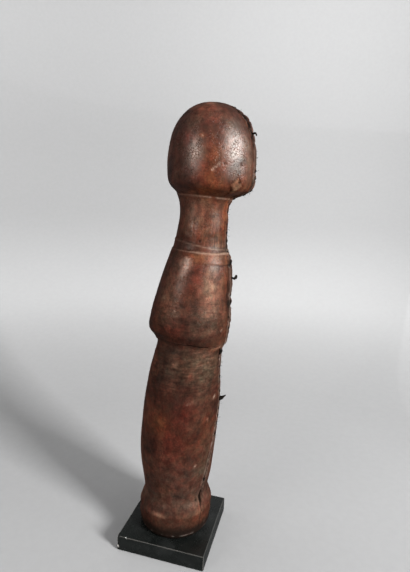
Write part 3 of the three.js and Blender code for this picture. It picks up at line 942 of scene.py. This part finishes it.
# Leather's finish. Colours are linear, noises are size in mm, detail, roughness and distortion, and a
# range is two values of a noise and what they give
leatherLook = {
    # Some colours also stand for light: the dark brown paints shade, the pale pink and olive paint highlight
    # and sheen, the pale grey paints glints on the lips' crests, the raw tan lit lap edges, and the near
    # black paints shade, with some dirt, in recesses and under laps
    "umberAndShade": (0.0150, 0.0061, 0.0043),
    "redBrown": (0.032, 0.0098, 0.0055),
    "chestnut": (0.050, 0.0165, 0.0088),
    "amber": (0.094, 0.0242, 0.0080),
    "oxblood": (0.063, 0.0106, 0.0060),
    "oliveAndSheen": (0.033, 0.0215, 0.0135),
    "peachAndSheen": (0.170, 0.082, 0.052),
    "lip": (0.062, 0.040, 0.031),
    "paleRimAndGlint": (0.122, 0.106, 0.095),
    "rawAndLit": (0.215, 0.143, 0.106),
    "flap": (0.132, 0.060, 0.035),
    "grimeAndShade": (0.0055, 0.0035, 0.0025),
    "hues": ((1.10, 0.94, 0.92), (0.92, 1.08, 1.06)),
    "patchNoise": (17.0, 4, 0.6, 0.4),
    "mottleNoise": (5.0, 4, 0.6),
    "speckNoise": (1.2, 2, 0.6),
    "hueNoise": (4.2, 3, 0.6),
    "crumpleNoise": (3.2, 4, 0.62, 0.5),
    "crumpleStretch": 0.55,
    "crackedNoise": (6, 3, 0.6),
    "bendNoise": (2.2, 2.0, 0.5),
    "bendReach": 2.1,
    "crackSize": 1.7,
    "wrinkleNoise": (6, 3, 0.6),
    "wrinkleStretch": 4.5,
    "ribNoise": (1.1, 1, 0.4),
    "ribStretch": 0.08,
    "poreNoise": (0.8, 3, 0.6),
    "redBrownRange": (0.30, 0.56),
    "chestnutRange": (0.46, 0.72),
    "patchBreaks": (0.25, 0.60, 0.6, 1.0),
    "mottleShade": (0.28, 0.68, 0.72, 1.22),
    "speckShade": (0.3, 0.7, 0.7, 1.3),
    "speckShare": 0.6,
    "hueRange": (0.32, 0.68),
    "crumpleShade": (0.34, 0.66, 0.82, 1.18),
    "crackRange": (0.0, 0.10, 1.0, 0.0),
    "crackedRange": (0.36, 0.58),
    "crackStain": 0.3,
    "crackDull": 0.66,
    "foldLightAndShade": (-0.2, 0.2, 0.68, 1.36),
    "rawAndLitBreaks": (0.3, 0.6, 0.6, 1.0),
    "grimeAndShadeShare": 0.93,
    "glossRange": (0.3, 0.6, 0.29, 0.40),
    "glossRoughness": 0.35,
    "glossIndex": 2.0,
    "lipDull": 1.3,
    "dullRoughness": 0.52,
    "roughRange": (0.35, 0.7, -0.04, 0.08),
    "dullShare": 0.25,
    "specular": 0.045,
    "relief": {"pores": 0.5, "cracks": 0.8, "folds": 1.5, "crumples": 1.6},
    "bumps": (0.55, 0.65),  # of the leather, and of its gloss
    "bumpDepth": 0.09,
}


def makeLeatherMaterial():
    look = leatherLook
    material, shader, place = newMaterial("aged_leather")
    tree = place.id_data
    noises = ("patchNoise", "mottleNoise", "speckNoise", "hueNoise", "crackedNoise", "poreNoise")
    patches, mottle, specks, hues, cracked, pores = (noiseOf(place, *look[name]) for name in noises)
    # Broad tones, then the named patches, with soft broken edges; some patches are painted shade, highlight
    # and sheen
    tone = mixColour(between(patches, *look["redBrownRange"]), rgba(look["umberAndShade"]), rgba(look["redBrown"]))
    tone = mixColour(between(patches, *look["chestnutRange"]), tone, rgba(look["chestnut"]))
    for name in ("umberAndShade", "oxblood", "amber", "oliveAndSheen", "peachAndSheen", "lip", "paleRimAndGlint", "flap"):
        share = times(masked(tree, name), between(mottle, *look["patchBreaks"]))
        tone = mixColour(share, tone, rgba(look[name]))
    tone = shaded(tone, between(mottle, *look["mottleShade"]))
    tone = shaded(tone, between(specks, *look["speckShade"]), look["speckShare"])
    warm, cool = look["hues"]
    tone = shaded(tone, mixColour(between(hues, *look["hueRange"]), rgba(warm), rgba(cool)))
    crumples = noiseOf(stretched(place, look["crumpleStretch"]), *look["crumpleNoise"])
    tone = shaded(tone, between(crumples, *look["crumpleShade"]))
    # Fine cracks in the old finish
    bend = noiseOf(place, *look["bendNoise"], output="Color")
    bent = result(tree, "ShaderNodeVectorMath", {0: bend, 3: look["bendReach"] * mm}, operation="SCALE")
    crackPlace = result(tree, "ShaderNodeVectorMath", {0: place, 1: bent}, operation="ADD")
    crackInputs = {"Vector": crackPlace, "Scale": 1 / (look["crackSize"] * mm)}
    cells = result(tree, "ShaderNodeTexVoronoi", crackInputs, "Distance", feature="DISTANCE_TO_EDGE")
    cracks = times(between(cells, *look["crackRange"]), between(cracked, *look["crackedRange"]))
    tone = mixColour(times(cracks, look["crackStain"]), tone, rgba(look["umberAndShade"]))
    # Level wrinkles, and upright ribs on one side of the neck, with their light and shade painted into the
    # colour: darker in the folds' hollows, lighter on their crests
    wrinkles = noiseOf(stretched(place, look["wrinkleStretch"]), *look["wrinkleNoise"])
    ribs = noiseOf(stretched(place, look["ribStretch"]), *look["ribNoise"])
    folds = times(minus(wrinkles, 0.5), masked(tree, "wrinkled"))
    folds = plus(folds, times(minus(ribs, 0.5), masked(tree, "ribbed")))
    tone = shaded(tone, between(folds, *look["foldLightAndShade"]))
    # Raw leather at nicks and scratches, and painted highlight on lit lap edges
    rawAndLitShare = times(masked(tree, "rawAndLit"), between(specks, *look["rawAndLitBreaks"]))
    tone = mixColour(rawAndLitShare, tone, rgba(look["rawAndLit"]))
    # Near black painted shade, with some dirt, in recesses and under laps
    tone = mixColour(times(masked(tree, "grimeAndShade"), look["grimeAndShadeShare"]), tone, rgba(look["grimeAndShade"]))
    # Smooth where hands have rubbed it, dull in cracks, in dirty and shaded recesses and on raw edges
    dull = larger(larger(masked(tree, "grimeAndShade"), masked(tree, "rawAndLit")), masked(tree, "flap"))
    dull = larger(dull, times(masked(tree, "lip"), look["lipDull"]))
    dull = plus(dull, times(cracks, look["crackDull"]), clamp=True)
    rubbed = times(masked(tree, "polish"), between(mottle, *look["glossRange"]))
    rough = plus(between(specks, *look["roughRange"]), look["dullRoughness"])
    # Relief too fine for the mesh
    depths = look["relief"]
    relief = minus(times(pores, depths["pores"]), times(cracks, depths["cracks"]))
    relief = plus(relief, times(folds, depths["folds"]))
    relief = plus(relief, times(crumples, depths["crumples"]))
    leatherBump, glossBump = look["bumps"]
    plug(shader, {
        "Base Color": tone,
        "Coat Weight": times(rubbed, minus(1.0, dull)),
        "Coat Roughness": look["glossRoughness"],
        "Coat IOR": look["glossIndex"],
        "Roughness": plus(rough, times(dull, look["dullShare"]), clamp=True),
        "Specular IOR Level": look["specular"],
        "Normal": bumped(relief, leatherBump, look["bumpDepth"]),
        "Coat Normal": bumped(relief, glossBump, look["bumpDepth"]),
    })
    return material


leather = makeLeather(makeLeatherMaterial())
print("leather doll:", len(leather.data.vertices), "points")


# Thread: sizes in mm
threadLook = {
    "radius": 0.46,
    "flatten": 0.62,
    "twist": 2.2,
    "halfWidth": 2.15,
    "sink": 0.55,
    "flatSink": 0.8,
    "crest": 1.35,
    "shoulder": 0.82,
    "slantDegrees": 27.0,
    "slantVaries": 0.2,
    "loose": 0.16,
    "dark": (0.0040, 0.0030, 0.0024),
    "light": (0.036, 0.024, 0.016),
    "strandNoise": (0.45, 3, 0.6),
    "strandRange": (0.45, 0.75),
    "dirtNoise": (9, 2, 0.5),
    "dirtRange": (0.4, 0.6, 0.2, 1.0),
    "roughness": 0.62,
    "specular": 0.1,
    "bump": (0.7, 0.12),
    "stitchSteps": 18,
    "threadSides": 10,
    "fibres": 150,
    "fibreSeed": 5,
    "fibreSteps": 6,
    "fibreSides": 4,
    "fibreShape": (-0.3, 0.6, 0.35),  # root in mm, then bow and lean as shares of the length
    "fibreTurn": 3.1,
    "fibreLength": 1.5,
    "fibreRadius": 0.05,
    "fibreSizes": (0.35, 1.5),
    "fibreEnds": (18, 6),  # from the seam's two ends
}


def makeThreadMaterial():
    look = threadLook
    material, shader, place = newMaterial("waxed_thread")
    strands, dirt = noiseOf(place, *look["strandNoise"]), noiseOf(place, *look["dirtNoise"])
    share = times(between(strands, *look["strandRange"]), between(dirt, *look["dirtRange"]))
    plug(shader, {
        "Base Color": mixColour(share, rgba(look["dark"]), rgba(look["light"])),
        "Roughness": look["roughness"],
        "Specular IOR Level": look["specular"],
        "Normal": bumped(strands, *look["bump"]),
    })
    return material


def newTree(name, values):
    # A node tree with one named input for each value
    kinds = {float: "NodeSocketFloat", int: "NodeSocketInt", bpy.types.Material: "NodeSocketMaterial"}
    tree = bpy.data.node_groups.new(name, "GeometryNodeTree")
    tree.interface.new_socket("Geometry", in_out="INPUT", socket_type="NodeSocketGeometry")
    for label, value in values.items():
        tree.interface.new_socket(label, in_out="INPUT", socket_type=kinds[type(value)])
    tree.interface.new_socket("Geometry", in_out="OUTPUT", socket_type="NodeSocketGeometry")
    return tree, tree.nodes.new("NodeGroupInput").outputs


def closeTree(tree, geometry, material):
    whole = result(tree, "GeometryNodeRealizeInstances", {"Geometry": geometry})
    coated = result(tree, "GeometryNodeSetMaterial", {"Geometry": whole, "Material": material})
    addNode(tree, "NodeGroupOutput", {"Geometry": coated})


def growOn(piece, tree, values):
    grown = piece.modifiers.new(tree.name, "NODES")
    grown.node_group = tree
    for socket in tree.interface.items_tree:
        if socket.in_out == "INPUT" and socket.name in values:
            grown[socket.identifier] = values[socket.name]
    settle(piece)


def facing(tree, slant):
    # Turns an instance so that Z points out of the leather and X across the seam
    outward, across = (
        result(tree, "GeometryNodeInputNamedAttribute", {"Name": name}, data_type="FLOAT_VECTOR")
        for name in ("outward", "across")
    )
    align = "FunctionNodeAlignRotationToVector"
    out = result(tree, align, {"Vector": outward}, axis="Z")
    turned = result(tree, align, {"Rotation": out, "Vector": across}, axis="X", pivot_axis="Z")
    twist = result(tree, "FunctionNodeEulerToRotation", {"Euler": vector(tree, Z=slant)})
    both = {"Rotation": turned, "Rotate By": twist}
    return result(tree, "FunctionNodeRotateRotation", both, rotation_space="LOCAL")


def randomOf(tree, low, high, seed):
    return result(tree, "FunctionNodeRandomValue", {2: low, 3: high, 8: seed}, 1, data_type="FLOAT")


def sweptAlong(tree, curve, profile):
    values = {"Curve": curve, "Profile Curve": profile, "Fill Caps": True}
    return result(tree, "GeometryNodeCurveToMesh", values)


def setOnPoints(tree, points, instance, slant, scale):
    values = {"Points": points, "Instance": instance, "Rotation": facing(tree, slant), "Scale": scale}
    return result(tree, "GeometryNodeInstanceOnPoints", values)


def circle(tree, radius, sides):
    return result(tree, "GeometryNodeCurvePrimitiveCircle", {"Resolution": sides, "Radius": radius})


def stitchTree(values):
    tree, given = newTree("whip_stitches", values)
    half, crest = given["Half Width"], given["Crest"]
    depth = times(given["Sink"], -1.0)
    shoulder = threadLook["shoulder"]
    corners = {
        "Start": (times(half, -1.0), depth),
        "Start Handle": (times(half, -shoulder), crest),
        "End Handle": (times(half, shoulder), crest),
        "End": (half, depth),
    }
    arch = addNode(tree, "GeometryNodeCurvePrimitiveBezierSegment", {"Resolution": threadLook["stitchSteps"]})
    plug(arch.inputs, {label: vector(tree, X=across, Z=up) for label, (across, up) in corners.items()})
    tilt = times(result(tree, "GeometryNodeSplineParameter", {}), given["Twist"])
    tilted = result(tree, "GeometryNodeSetCurveTilt", {"Curve": arch.outputs["Curve"], "Tilt": tilt})
    squash = vector(tree, X=1.0, Y=given["Flatten"], Z=1.0)
    ring = circle(tree, given["Thread Radius"], threadLook["threadSides"])
    oval = result(tree, "GeometryNodeTransform", {"Geometry": ring, "Scale": squash})
    stitch = sweptAlong(tree, tilted, oval)
    varies = threadLook["slantVaries"]
    lean = plus(given["Slant"], randomOf(tree, -varies, varies, given["Seed"]))
    size = plus(1.0, times(given["Loose"], randomOf(tree, -1, 1, 5)))
    sewn = setOnPoints(tree, given["Geometry"], stitch, lean, vector(tree, X=1.0, Y=size, Z=size))
    closeTree(tree, sewn, given["Thread"])
    return tree


def guidePoints(name, places, sink, turns=0):
    # Loose points on the seam that carry the leather's directions there
    points, _, across, outward = surfaceFrames(places, turns)
    points -= sink[:, None] * outward
    points[:, 2] += soleLevel
    mesh = bpy.data.meshes.new(name)
    mesh.from_pydata((points * mm).tolist(), [], [])
    addLayer(mesh, "across", across, "FLOAT_VECTOR", "vector")
    addLayer(mesh, "outward", outward, "FLOAT_VECTOR", "vector")
    return addObject(name, mesh)


def makeStitches(material):
    look = threadLook
    sink = look["flatSink"] * flatnessAt(np.interp(stitches, seamLengths, seamHeights))
    guide = guidePoints("sewn_thread", np.interp(stitches, seamLengths, seamPlaces), sink)
    values = {
        "Thread Radius": look["radius"] * mm,
        "Flatten": look["flatten"],
        "Half Width": look["halfWidth"] * mm,
        "Sink": look["sink"] * mm,
        "Crest": look["crest"] * mm,
        "Twist": look["twist"] * 2 * math.pi,
        "Slant": math.radians(look["slantDegrees"]),
        "Loose": look["loose"],
        "Seed": 3,
        "Thread": material,
    }
    growOn(guide, stitchTree(values), values)
    shadeSmooth(guide.data)
    return guide


threadMaterial = makeThreadMaterial()
stitching = makeStitches(threadMaterial)
print("stitches:", len(stitches), "with", len(stitching.data.polygons), "faces")

# Loose thread ends in mm: name, height on the seam, radii, and the path as steps outward, up and across
looseEnds = (
    ("thread_end_hip", 95.6, (1.6, 1.5, 1.1, 0.7, 0.3),
     ((-1.6, -0.8, 0.0), (0.4, 0.0, 0.0), (1.6, 0.8, 0.1), (2.6, 1.6, 0.2), (3.9, 2.8, 0.3))),
    ("thread_end_shoulder", 177.4, (0.55, 0.65, 0.8, 1.05, 0.5),
     ((-1.0, -0.4, 0.0), (0.9, -0.5, 0.1), (2.0, -0.7, 0.3), (2.9, 0.3, 0.2), (3.3, 1.7, 0.4))),
    ("thread_knot_collar", 186.6, (0.5, 0.8, 0.95, 0.7, 0.4),
     ((0.2, -2.0, 0.9), (0.7, -0.9, 0.5), (0.95, 0.2, 0.7), (0.6, 1.3, 0.3), (-0.1, 2.2, 0.9))),
    ("thread_knot_belly", 162.0, (0.35, 0.55, 0.55, 0.35),
     ((-0.2, -1.6, -0.9), (0.15, -0.5, -0.5), (0.15, 0.7, -0.8), (-0.2, 1.7, -0.4))),
    ("thread_knot_waist", 129.2, (0.35, 0.6, 0.65, 0.45, 0.3),
     ((-0.9, -2.4, 2.2), (-0.1, -1.2, 2.8), (0.0, 0.2, 2.4), (-0.3, 1.4, 2.9), (-0.9, 2.3, 3.2))),
    ("thread_end_head", 260.1, (0.75, 0.7, 0.6, 0.4),
     ((-0.8, 0.6, 0.2), (0.7, 0.6, 0.5), (1.7, 0.1, 0.6), (1.8, -1.4, 0.5))),
)
strandForm = {
    "steps": 34,
    "sides": 14,
    "turns": 3.4,
    "lobes": (0.74, 0.26),
    "tip": 0.35,
    "sideways": (0.31, 0.9, 0.2),
}


def strandMesh(name, path, radii, material):
    # Two plies laid together: a section with two lobes that turns along the path
    form = strandForm
    steps, sides = form["steps"], form["sides"]
    line = roundLine(path, np.linspace(0, len(path) - 1, steps))
    radius = np.interp(np.linspace(0, 1, steps), np.linspace(0, 1, len(radii)), radii)
    forward = unit(np.gradient(line, axis=0))
    side = unit(np.cross(forward, form["sideways"]))
    up = np.cross(side, forward)
    turn = np.linspace(0, 2 * math.pi, sides, endpoint=False)[None, :]
    around = turn + np.linspace(0, form["turns"], steps)[:, None] * 2 * math.pi
    core, lobe = form["lobes"]
    lobes = radius[:, None] * (core + lobe * np.abs(np.cos(turn)))
    lobes[-1] *= form["tip"]
    sideways, upwards = (lobes * np.cos(around))[..., None], (lobes * np.sin(around))[..., None]
    rim = line[:, None] + sideways * side[:, None] + upwards * up[:, None]
    vertices = np.vstack([rim.reshape(-1, 3), line[0], line[-1]])
    return meshObject(name, (vertices * mm).tolist(), ringFaces(steps, sides), material)


def makeLooseEnds(material):
    pieces = []
    for name, height, radii, steps in looseEnds:
        place = np.interp([height], seamHeights, seamPlaces)
        point, along, across, outward = (vectors[0] for vectors in surfaceFrames(place))
        base = point + (0, 0, soleLevel) + outward * seamForm["lipHeight"]
        path = [base + out * outward + up * along + aside * across for out, up, aside in steps]
        pieces.append(strandMesh(name, path, radii, material))
    return pieces


threadEnds = makeLooseEnds(threadMaterial)


def fibreTree(values):
    tree, given = newTree("seam_fibres", values)
    look = threadLook
    length = given["Length"]
    root, bow, lean = look["fibreShape"]
    ends = {"Start": (0, 0, root * mm), "Middle": vector(tree, Z=times(length, bow))}
    ends["End"] = vector(tree, X=times(length, lean), Z=length)
    hair = result(tree, "GeometryNodeCurveQuadraticBezier", {"Resolution": look["fibreSteps"], **ends})
    shaft = sweptAlong(tree, hair, circle(tree, given["Radius"], look["fibreSides"]))
    spin = randomOf(tree, -look["fibreTurn"], look["fibreTurn"], given["Seed"])
    size = randomOf(tree, *look["fibreSizes"], 9)
    hairs = setOnPoints(tree, given["Geometry"], shaft, spin, vector(tree, X=size, Y=1.0, Z=size))
    closeTree(tree, hairs, given["Fibre"])
    return tree


def makeFibres(material):
    look = threadLook
    draw = np.random.default_rng(look["fibreSeed"])
    count = look["fibres"]
    fromFoot, fromCrown = look["fibreEnds"]
    lengths = draw.uniform(seamLengths[0] + fromFoot, seamLengths[-1] - fromCrown, count)
    places = np.interp(lengths, seamLengths, seamPlaces)
    radius = outlineAt(places)[:, 1:].sum(axis=1, keepdims=True) / 2
    guide = guidePoints("seam_fibres", places, np.zeros(count), draw.normal(0, 1.0, (count, 1)) / radius)
    values = {"Length": look["fibreLength"] * mm, "Radius": look["fibreRadius"] * mm}
    values.update({"Seed": 2, "Fibre": material})
    growOn(guide, fibreTree(values), values)
    return guide


fibres = makeFibres(threadMaterial)
print("loose ends and fibres made")

# Block: black paint worn through at the edges, in mm
blockLook = {
    "edgeRound": 0.35,
    "roundSteps": 3,
    "mergeDistance": 0.01,
    "flatAngle": 1,
    "sharpAngle": 25,
    "paint": (0.0042, 0.0050, 0.0046),
    "dust": (0.017, 0.018, 0.0175),
    "bare": (0.30, 0.285, 0.265),
    "rubNoise": (5, 4, 0.7),
    "wearRange": (0.40, 0.72),
    "wearWidths": (-0.2, 0.42),
    "wearEdge": (-0.12, 0.15),
    "edgeLine": (0.1, 0.5, 0.6, 0.0),
    "wearShares": (0.6, 0.75),  # of bare wood in the wear, and of the whole in the paint
    "frayNoise": (1.5, 2, 0.6),
    "frayRange": (0.3, 0.7),
    "fray": 0.5,
    "chips": ((30.0, -23.5, 10.8, 0.8), (30.0, -29.8, 3.0, 1.0)),  # centre and radius
    "chipEdge": (-0.3, 0.1, 1.2),
    "dustNoise": (14, 4, 0.65),
    "dustRange": (0.45, 0.75, 0.0, 0.5),
    "dustOnTop": (0.05, 0.3, 1.0, 0.0),
    "dustAtEnds": (4, 32, 0.0, 0.6),
    "dustSlant": 0.8,
    "smearNoise": (8, 3, 0.6),
    "smearRange": (0.3, 0.7, 0.22, 0.36),
    "bareRoughness": 0.25,
    "brushNoise": (1.6, 3, 0.6),
    "bump": (0.35, 0.1),
}


def makeBlockMaterial():
    look = blockLook
    material, shader, place = newMaterial("worn_black_paint")
    low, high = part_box("base_block")
    centre, half = (low + high) / 2, (high - low) / 2
    # Depth below each pair of faces; the middle one of the three is the distance to the nearest edge
    split = addNode(place.id_data, "ShaderNodeSeparateXYZ", {"Vector": place}).outputs
    gaps = [minus(half[axis], reckon("ABSOLUTE", minus(split[axis], centre[axis]))) for axis in range(3)]
    nearFace, nextFace = smaller(gaps[0], gaps[1]), larger(gaps[0], gaps[1])
    edge = larger(nearFace, smaller(nextFace, gaps[2]))
    rub = noiseOf(place, *look["rubNoise"])
    narrow, wide = (width * mm for width in look["wearWidths"])
    worn = betweenSizes(minus(between(rub, *look["wearRange"], narrow, wide), edge), *look["wearEdge"])
    wearShare, bareShare = look["wearShares"]
    worn = larger(times(worn, wearShare), times(betweenSizes(edge, *look["edgeLine"]), rub))
    fray = look["fray"] * mm
    frayed = between(noiseOf(place, *look["frayNoise"]), *look["frayRange"], -fray, fray)
    inner, outer, chipShare = look["chipEdge"]
    for *middle, radius in look["chips"]:
        ends = {0: place, 1: Vector(middle) * mm}
        away = result(place.id_data, "ShaderNodeVectorMath", ends, "Value", operation="DISTANCE")
        worn = larger(worn, betweenSizes(plus(away, frayed), radius + inner, radius + outer, chipShare, 0.0))
    atEnds = minus(reckon("ABSOLUTE", split["Y"]), times(split["X"], look["dustSlant"]))
    settled = times(betweenSizes(gaps[2], *look["dustOnTop"]), betweenSizes(atEnds, *look["dustAtEnds"]))
    dust = plus(between(noiseOf(place, *look["dustNoise"]), *look["dustRange"]), settled, clamp=True)
    tone = mixColour(dust, rgba(look["paint"]), rgba(look["dust"]))
    smear = between(noiseOf(place, *look["smearNoise"]), *look["smearRange"])
    plug(shader, {
        "Base Color": mixColour(times(worn, bareShare), tone, rgba(look["bare"])),
        "Roughness": plus(smear, times(worn, look["bareRoughness"])),
        "Normal": bumped(noiseOf(place, *look["brushNoise"]), *look["bump"]),
    })
    return material


def makeBlock(material):
    # A copy of the solid with its hard edges rounded
    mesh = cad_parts["base_block"].data.copy()
    mesh.materials.clear()
    mesh.materials.append(material)
    shape = bmesh.new()
    shape.from_mesh(mesh)
    bmesh.ops.remove_doubles(shape, verts=shape.verts, dist=blockLook["mergeDistance"] * mm)
    flat = math.radians(blockLook["flatAngle"])
    bmesh.ops.dissolve_limit(shape, angle_limit=flat, verts=shape.verts, edges=shape.edges)
    shape.to_mesh(mesh)
    shape.free()
    piece = addObject("painted_block", mesh)
    bevel = piece.modifiers.new("edges", "BEVEL")
    bevel.width = blockLook["edgeRound"] * mm
    bevel.segments = blockLook["roundSteps"]
    bevel.limit_method = "ANGLE"
    bevel.angle_limit = math.radians(blockLook["sharpAngle"])
    bevel.harden_normals = True
    settle(piece)
    return piece


block = makeBlock(makeBlockMaterial())
print("block:", len(block.data.polygons), "faces")

# Studio: a pale sweep and soft lights. Angles in degrees from +X towards +Y, sizes in metres
studio = {
    "floorReach": 0.20,
    "sweepRadius": 0.55,
    "sweepSteps": 33,
    "sweepSides": 160,
    "wallHeight": 1.1,
    "squareness": 2.8,
    "turn": 18.0,
    "paper": (0.299, 0.299, 0.301),
    "paperNoise": (6.25, 3, 0.6),
    "paperShade": (0.3, 0.7, 0.985, 1.015),
    "paperLightAcross": (-0.55, 0.45, 0.865, 1.065),  # painted light, darker on one side and brighter on the other
    # Painted light and shade on the paper, in bands by height
    "paperLightByHeight": ((0.0, 0.075, 0.915, 1.18), (0.05, 0.22, 1.0, 0.755), (0.33, 0.6, 1.0, 1.17)),
    "paperRoughness": 0.9,
    "world": (0.98, 0.99, 1.0),
    "worldStrength": 0.12,
    "lightAim": (0, 0.012, 0.15),
    "lightDistance": 2.3,
    "lights": (  # name, turn, rise, width, height, power, colour, and whether gloss or soft shade shows it
        ("key_softbox", 65, 23, 0.5, 0.7, 146, (1.0, 1.0, 1.0), "shade"),
        ("key_card", 78, 24, 1.4, 1.0, 139, (0.96, 1.0, 0.965), "gloss"),
        ("fill_card", -29, 17, 0.42, 0.40, 31, (1.0, 0.86, 0.76), "gloss"),
        ("fill_softbox", -35, 17, 1.2, 1.2, 34, (1.0, 1.0, 1.0), "shade"),
        ("front_softbox", -95, 14, 1.6, 1.2, 31, (1.0, 1.0, 1.0), "shade"),
        ("top_softbox", 120, 80, 1.6, 1.6, 16, (1.0, 1.0, 1.0), "shade"),
    ),
}


def makeSweep():
    # A rounded square floor that curves up into walls. Light passes through it, and gloss doesn't show it
    material, shader, place = newMaterial("pale_paper")
    shade = between(noiseOf(place, *studio["paperNoise"]), *studio["paperShade"])
    tone = mixColour(1.0, rgba(studio["paper"]), shade, "MULTIPLY")
    split = addNode(place.id_data, "ShaderNodeSeparateXYZ", {"Vector": place}).outputs
    # Painted light on the paper: brighter towards one side, and in bands by height
    tone = shaded(tone, between(split["Y"], *studio["paperLightAcross"]))
    for band in studio["paperLightByHeight"]:
        tone = shaded(tone, between(split["Z"], *band))
    plug(shader, {"Base Color": tone, "Roughness": studio["paperRoughness"]})
    reach, curve, power = studio["floorReach"], studio["sweepRadius"], studio["squareness"]
    rises = np.linspace(0, math.pi / 2, studio["sweepSteps"])
    distance = np.append(reach + curve * np.sin(rises), reach + curve)
    height = np.append(curve * (1 - np.cos(rises)), curve + studio["wallHeight"])
    turn = np.linspace(0, 2 * math.pi, studio["sweepSides"], endpoint=False)
    corner = (np.abs(np.cos(turn)) ** power + np.abs(np.sin(turn)) ** power) ** (-1 / power)
    turned = turn + math.radians(studio["turn"])
    x, y = (distance[:, None] * corner * part for part in (np.cos(turned), np.sin(turned)))
    points = np.stack([x, y, np.broadcast_to(height[:, None], x.shape)], -1).reshape(-1, 3)
    faces = ringFaces(*x.shape, closed=False)
    sweep = meshObject("studio_floor", [*points.tolist(), (0.0, 0.0, 0.0)], faces, material)
    sweep.visible_shadow = False
    sweep.visible_glossy = False


def makeLights():
    world = bpy.data.worlds.new("studio_air")
    world.use_nodes = True
    air = {"Color": rgba(studio["world"]), "Strength": studio["worldStrength"]}
    plug(world.node_tree.nodes["Background"].inputs, air)
    bpy.context.scene.world = world
    for name, turn, rise, width, height, power, colour, use in studio["lights"]:
        data = bpy.data.lights.new(name, "AREA")
        data.shape = "RECTANGLE"
        data.size, data.size_y = width, height
        data.energy = power
        data.color = colour
        turn, rise = math.radians(turn), math.radians(rise)
        away = Vector((math.cos(turn) * math.cos(rise), math.sin(turn) * math.cos(rise), math.sin(rise)))
        light = addObject(name, data)
        light.location = Vector(studio["lightAim"]) + away * studio["lightDistance"]
        light.rotation_mode = "QUATERNION"
        light.rotation_quaternion = away.to_track_quat("Z", "Y")
        light.visible_camera = False
        light.visible_glossy = use == "gloss"
        light.visible_diffuse = use == "shade"


makeSweep()
makeLights()
bpy.context.scene.view_settings.view_transform = "Standard"
print("studio made")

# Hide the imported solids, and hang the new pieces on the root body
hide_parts("doll")
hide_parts("seam_thread")
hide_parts("base_block")
for piece, slot in (
    (leather, "leather"),
    (stitching, "sinew_thread"),
    (fibres, "sinew_thread"),
    (block, "black_wood"),
    *((end, "sinew_thread") for end in threadEnds),
):
    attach(piece, "root")
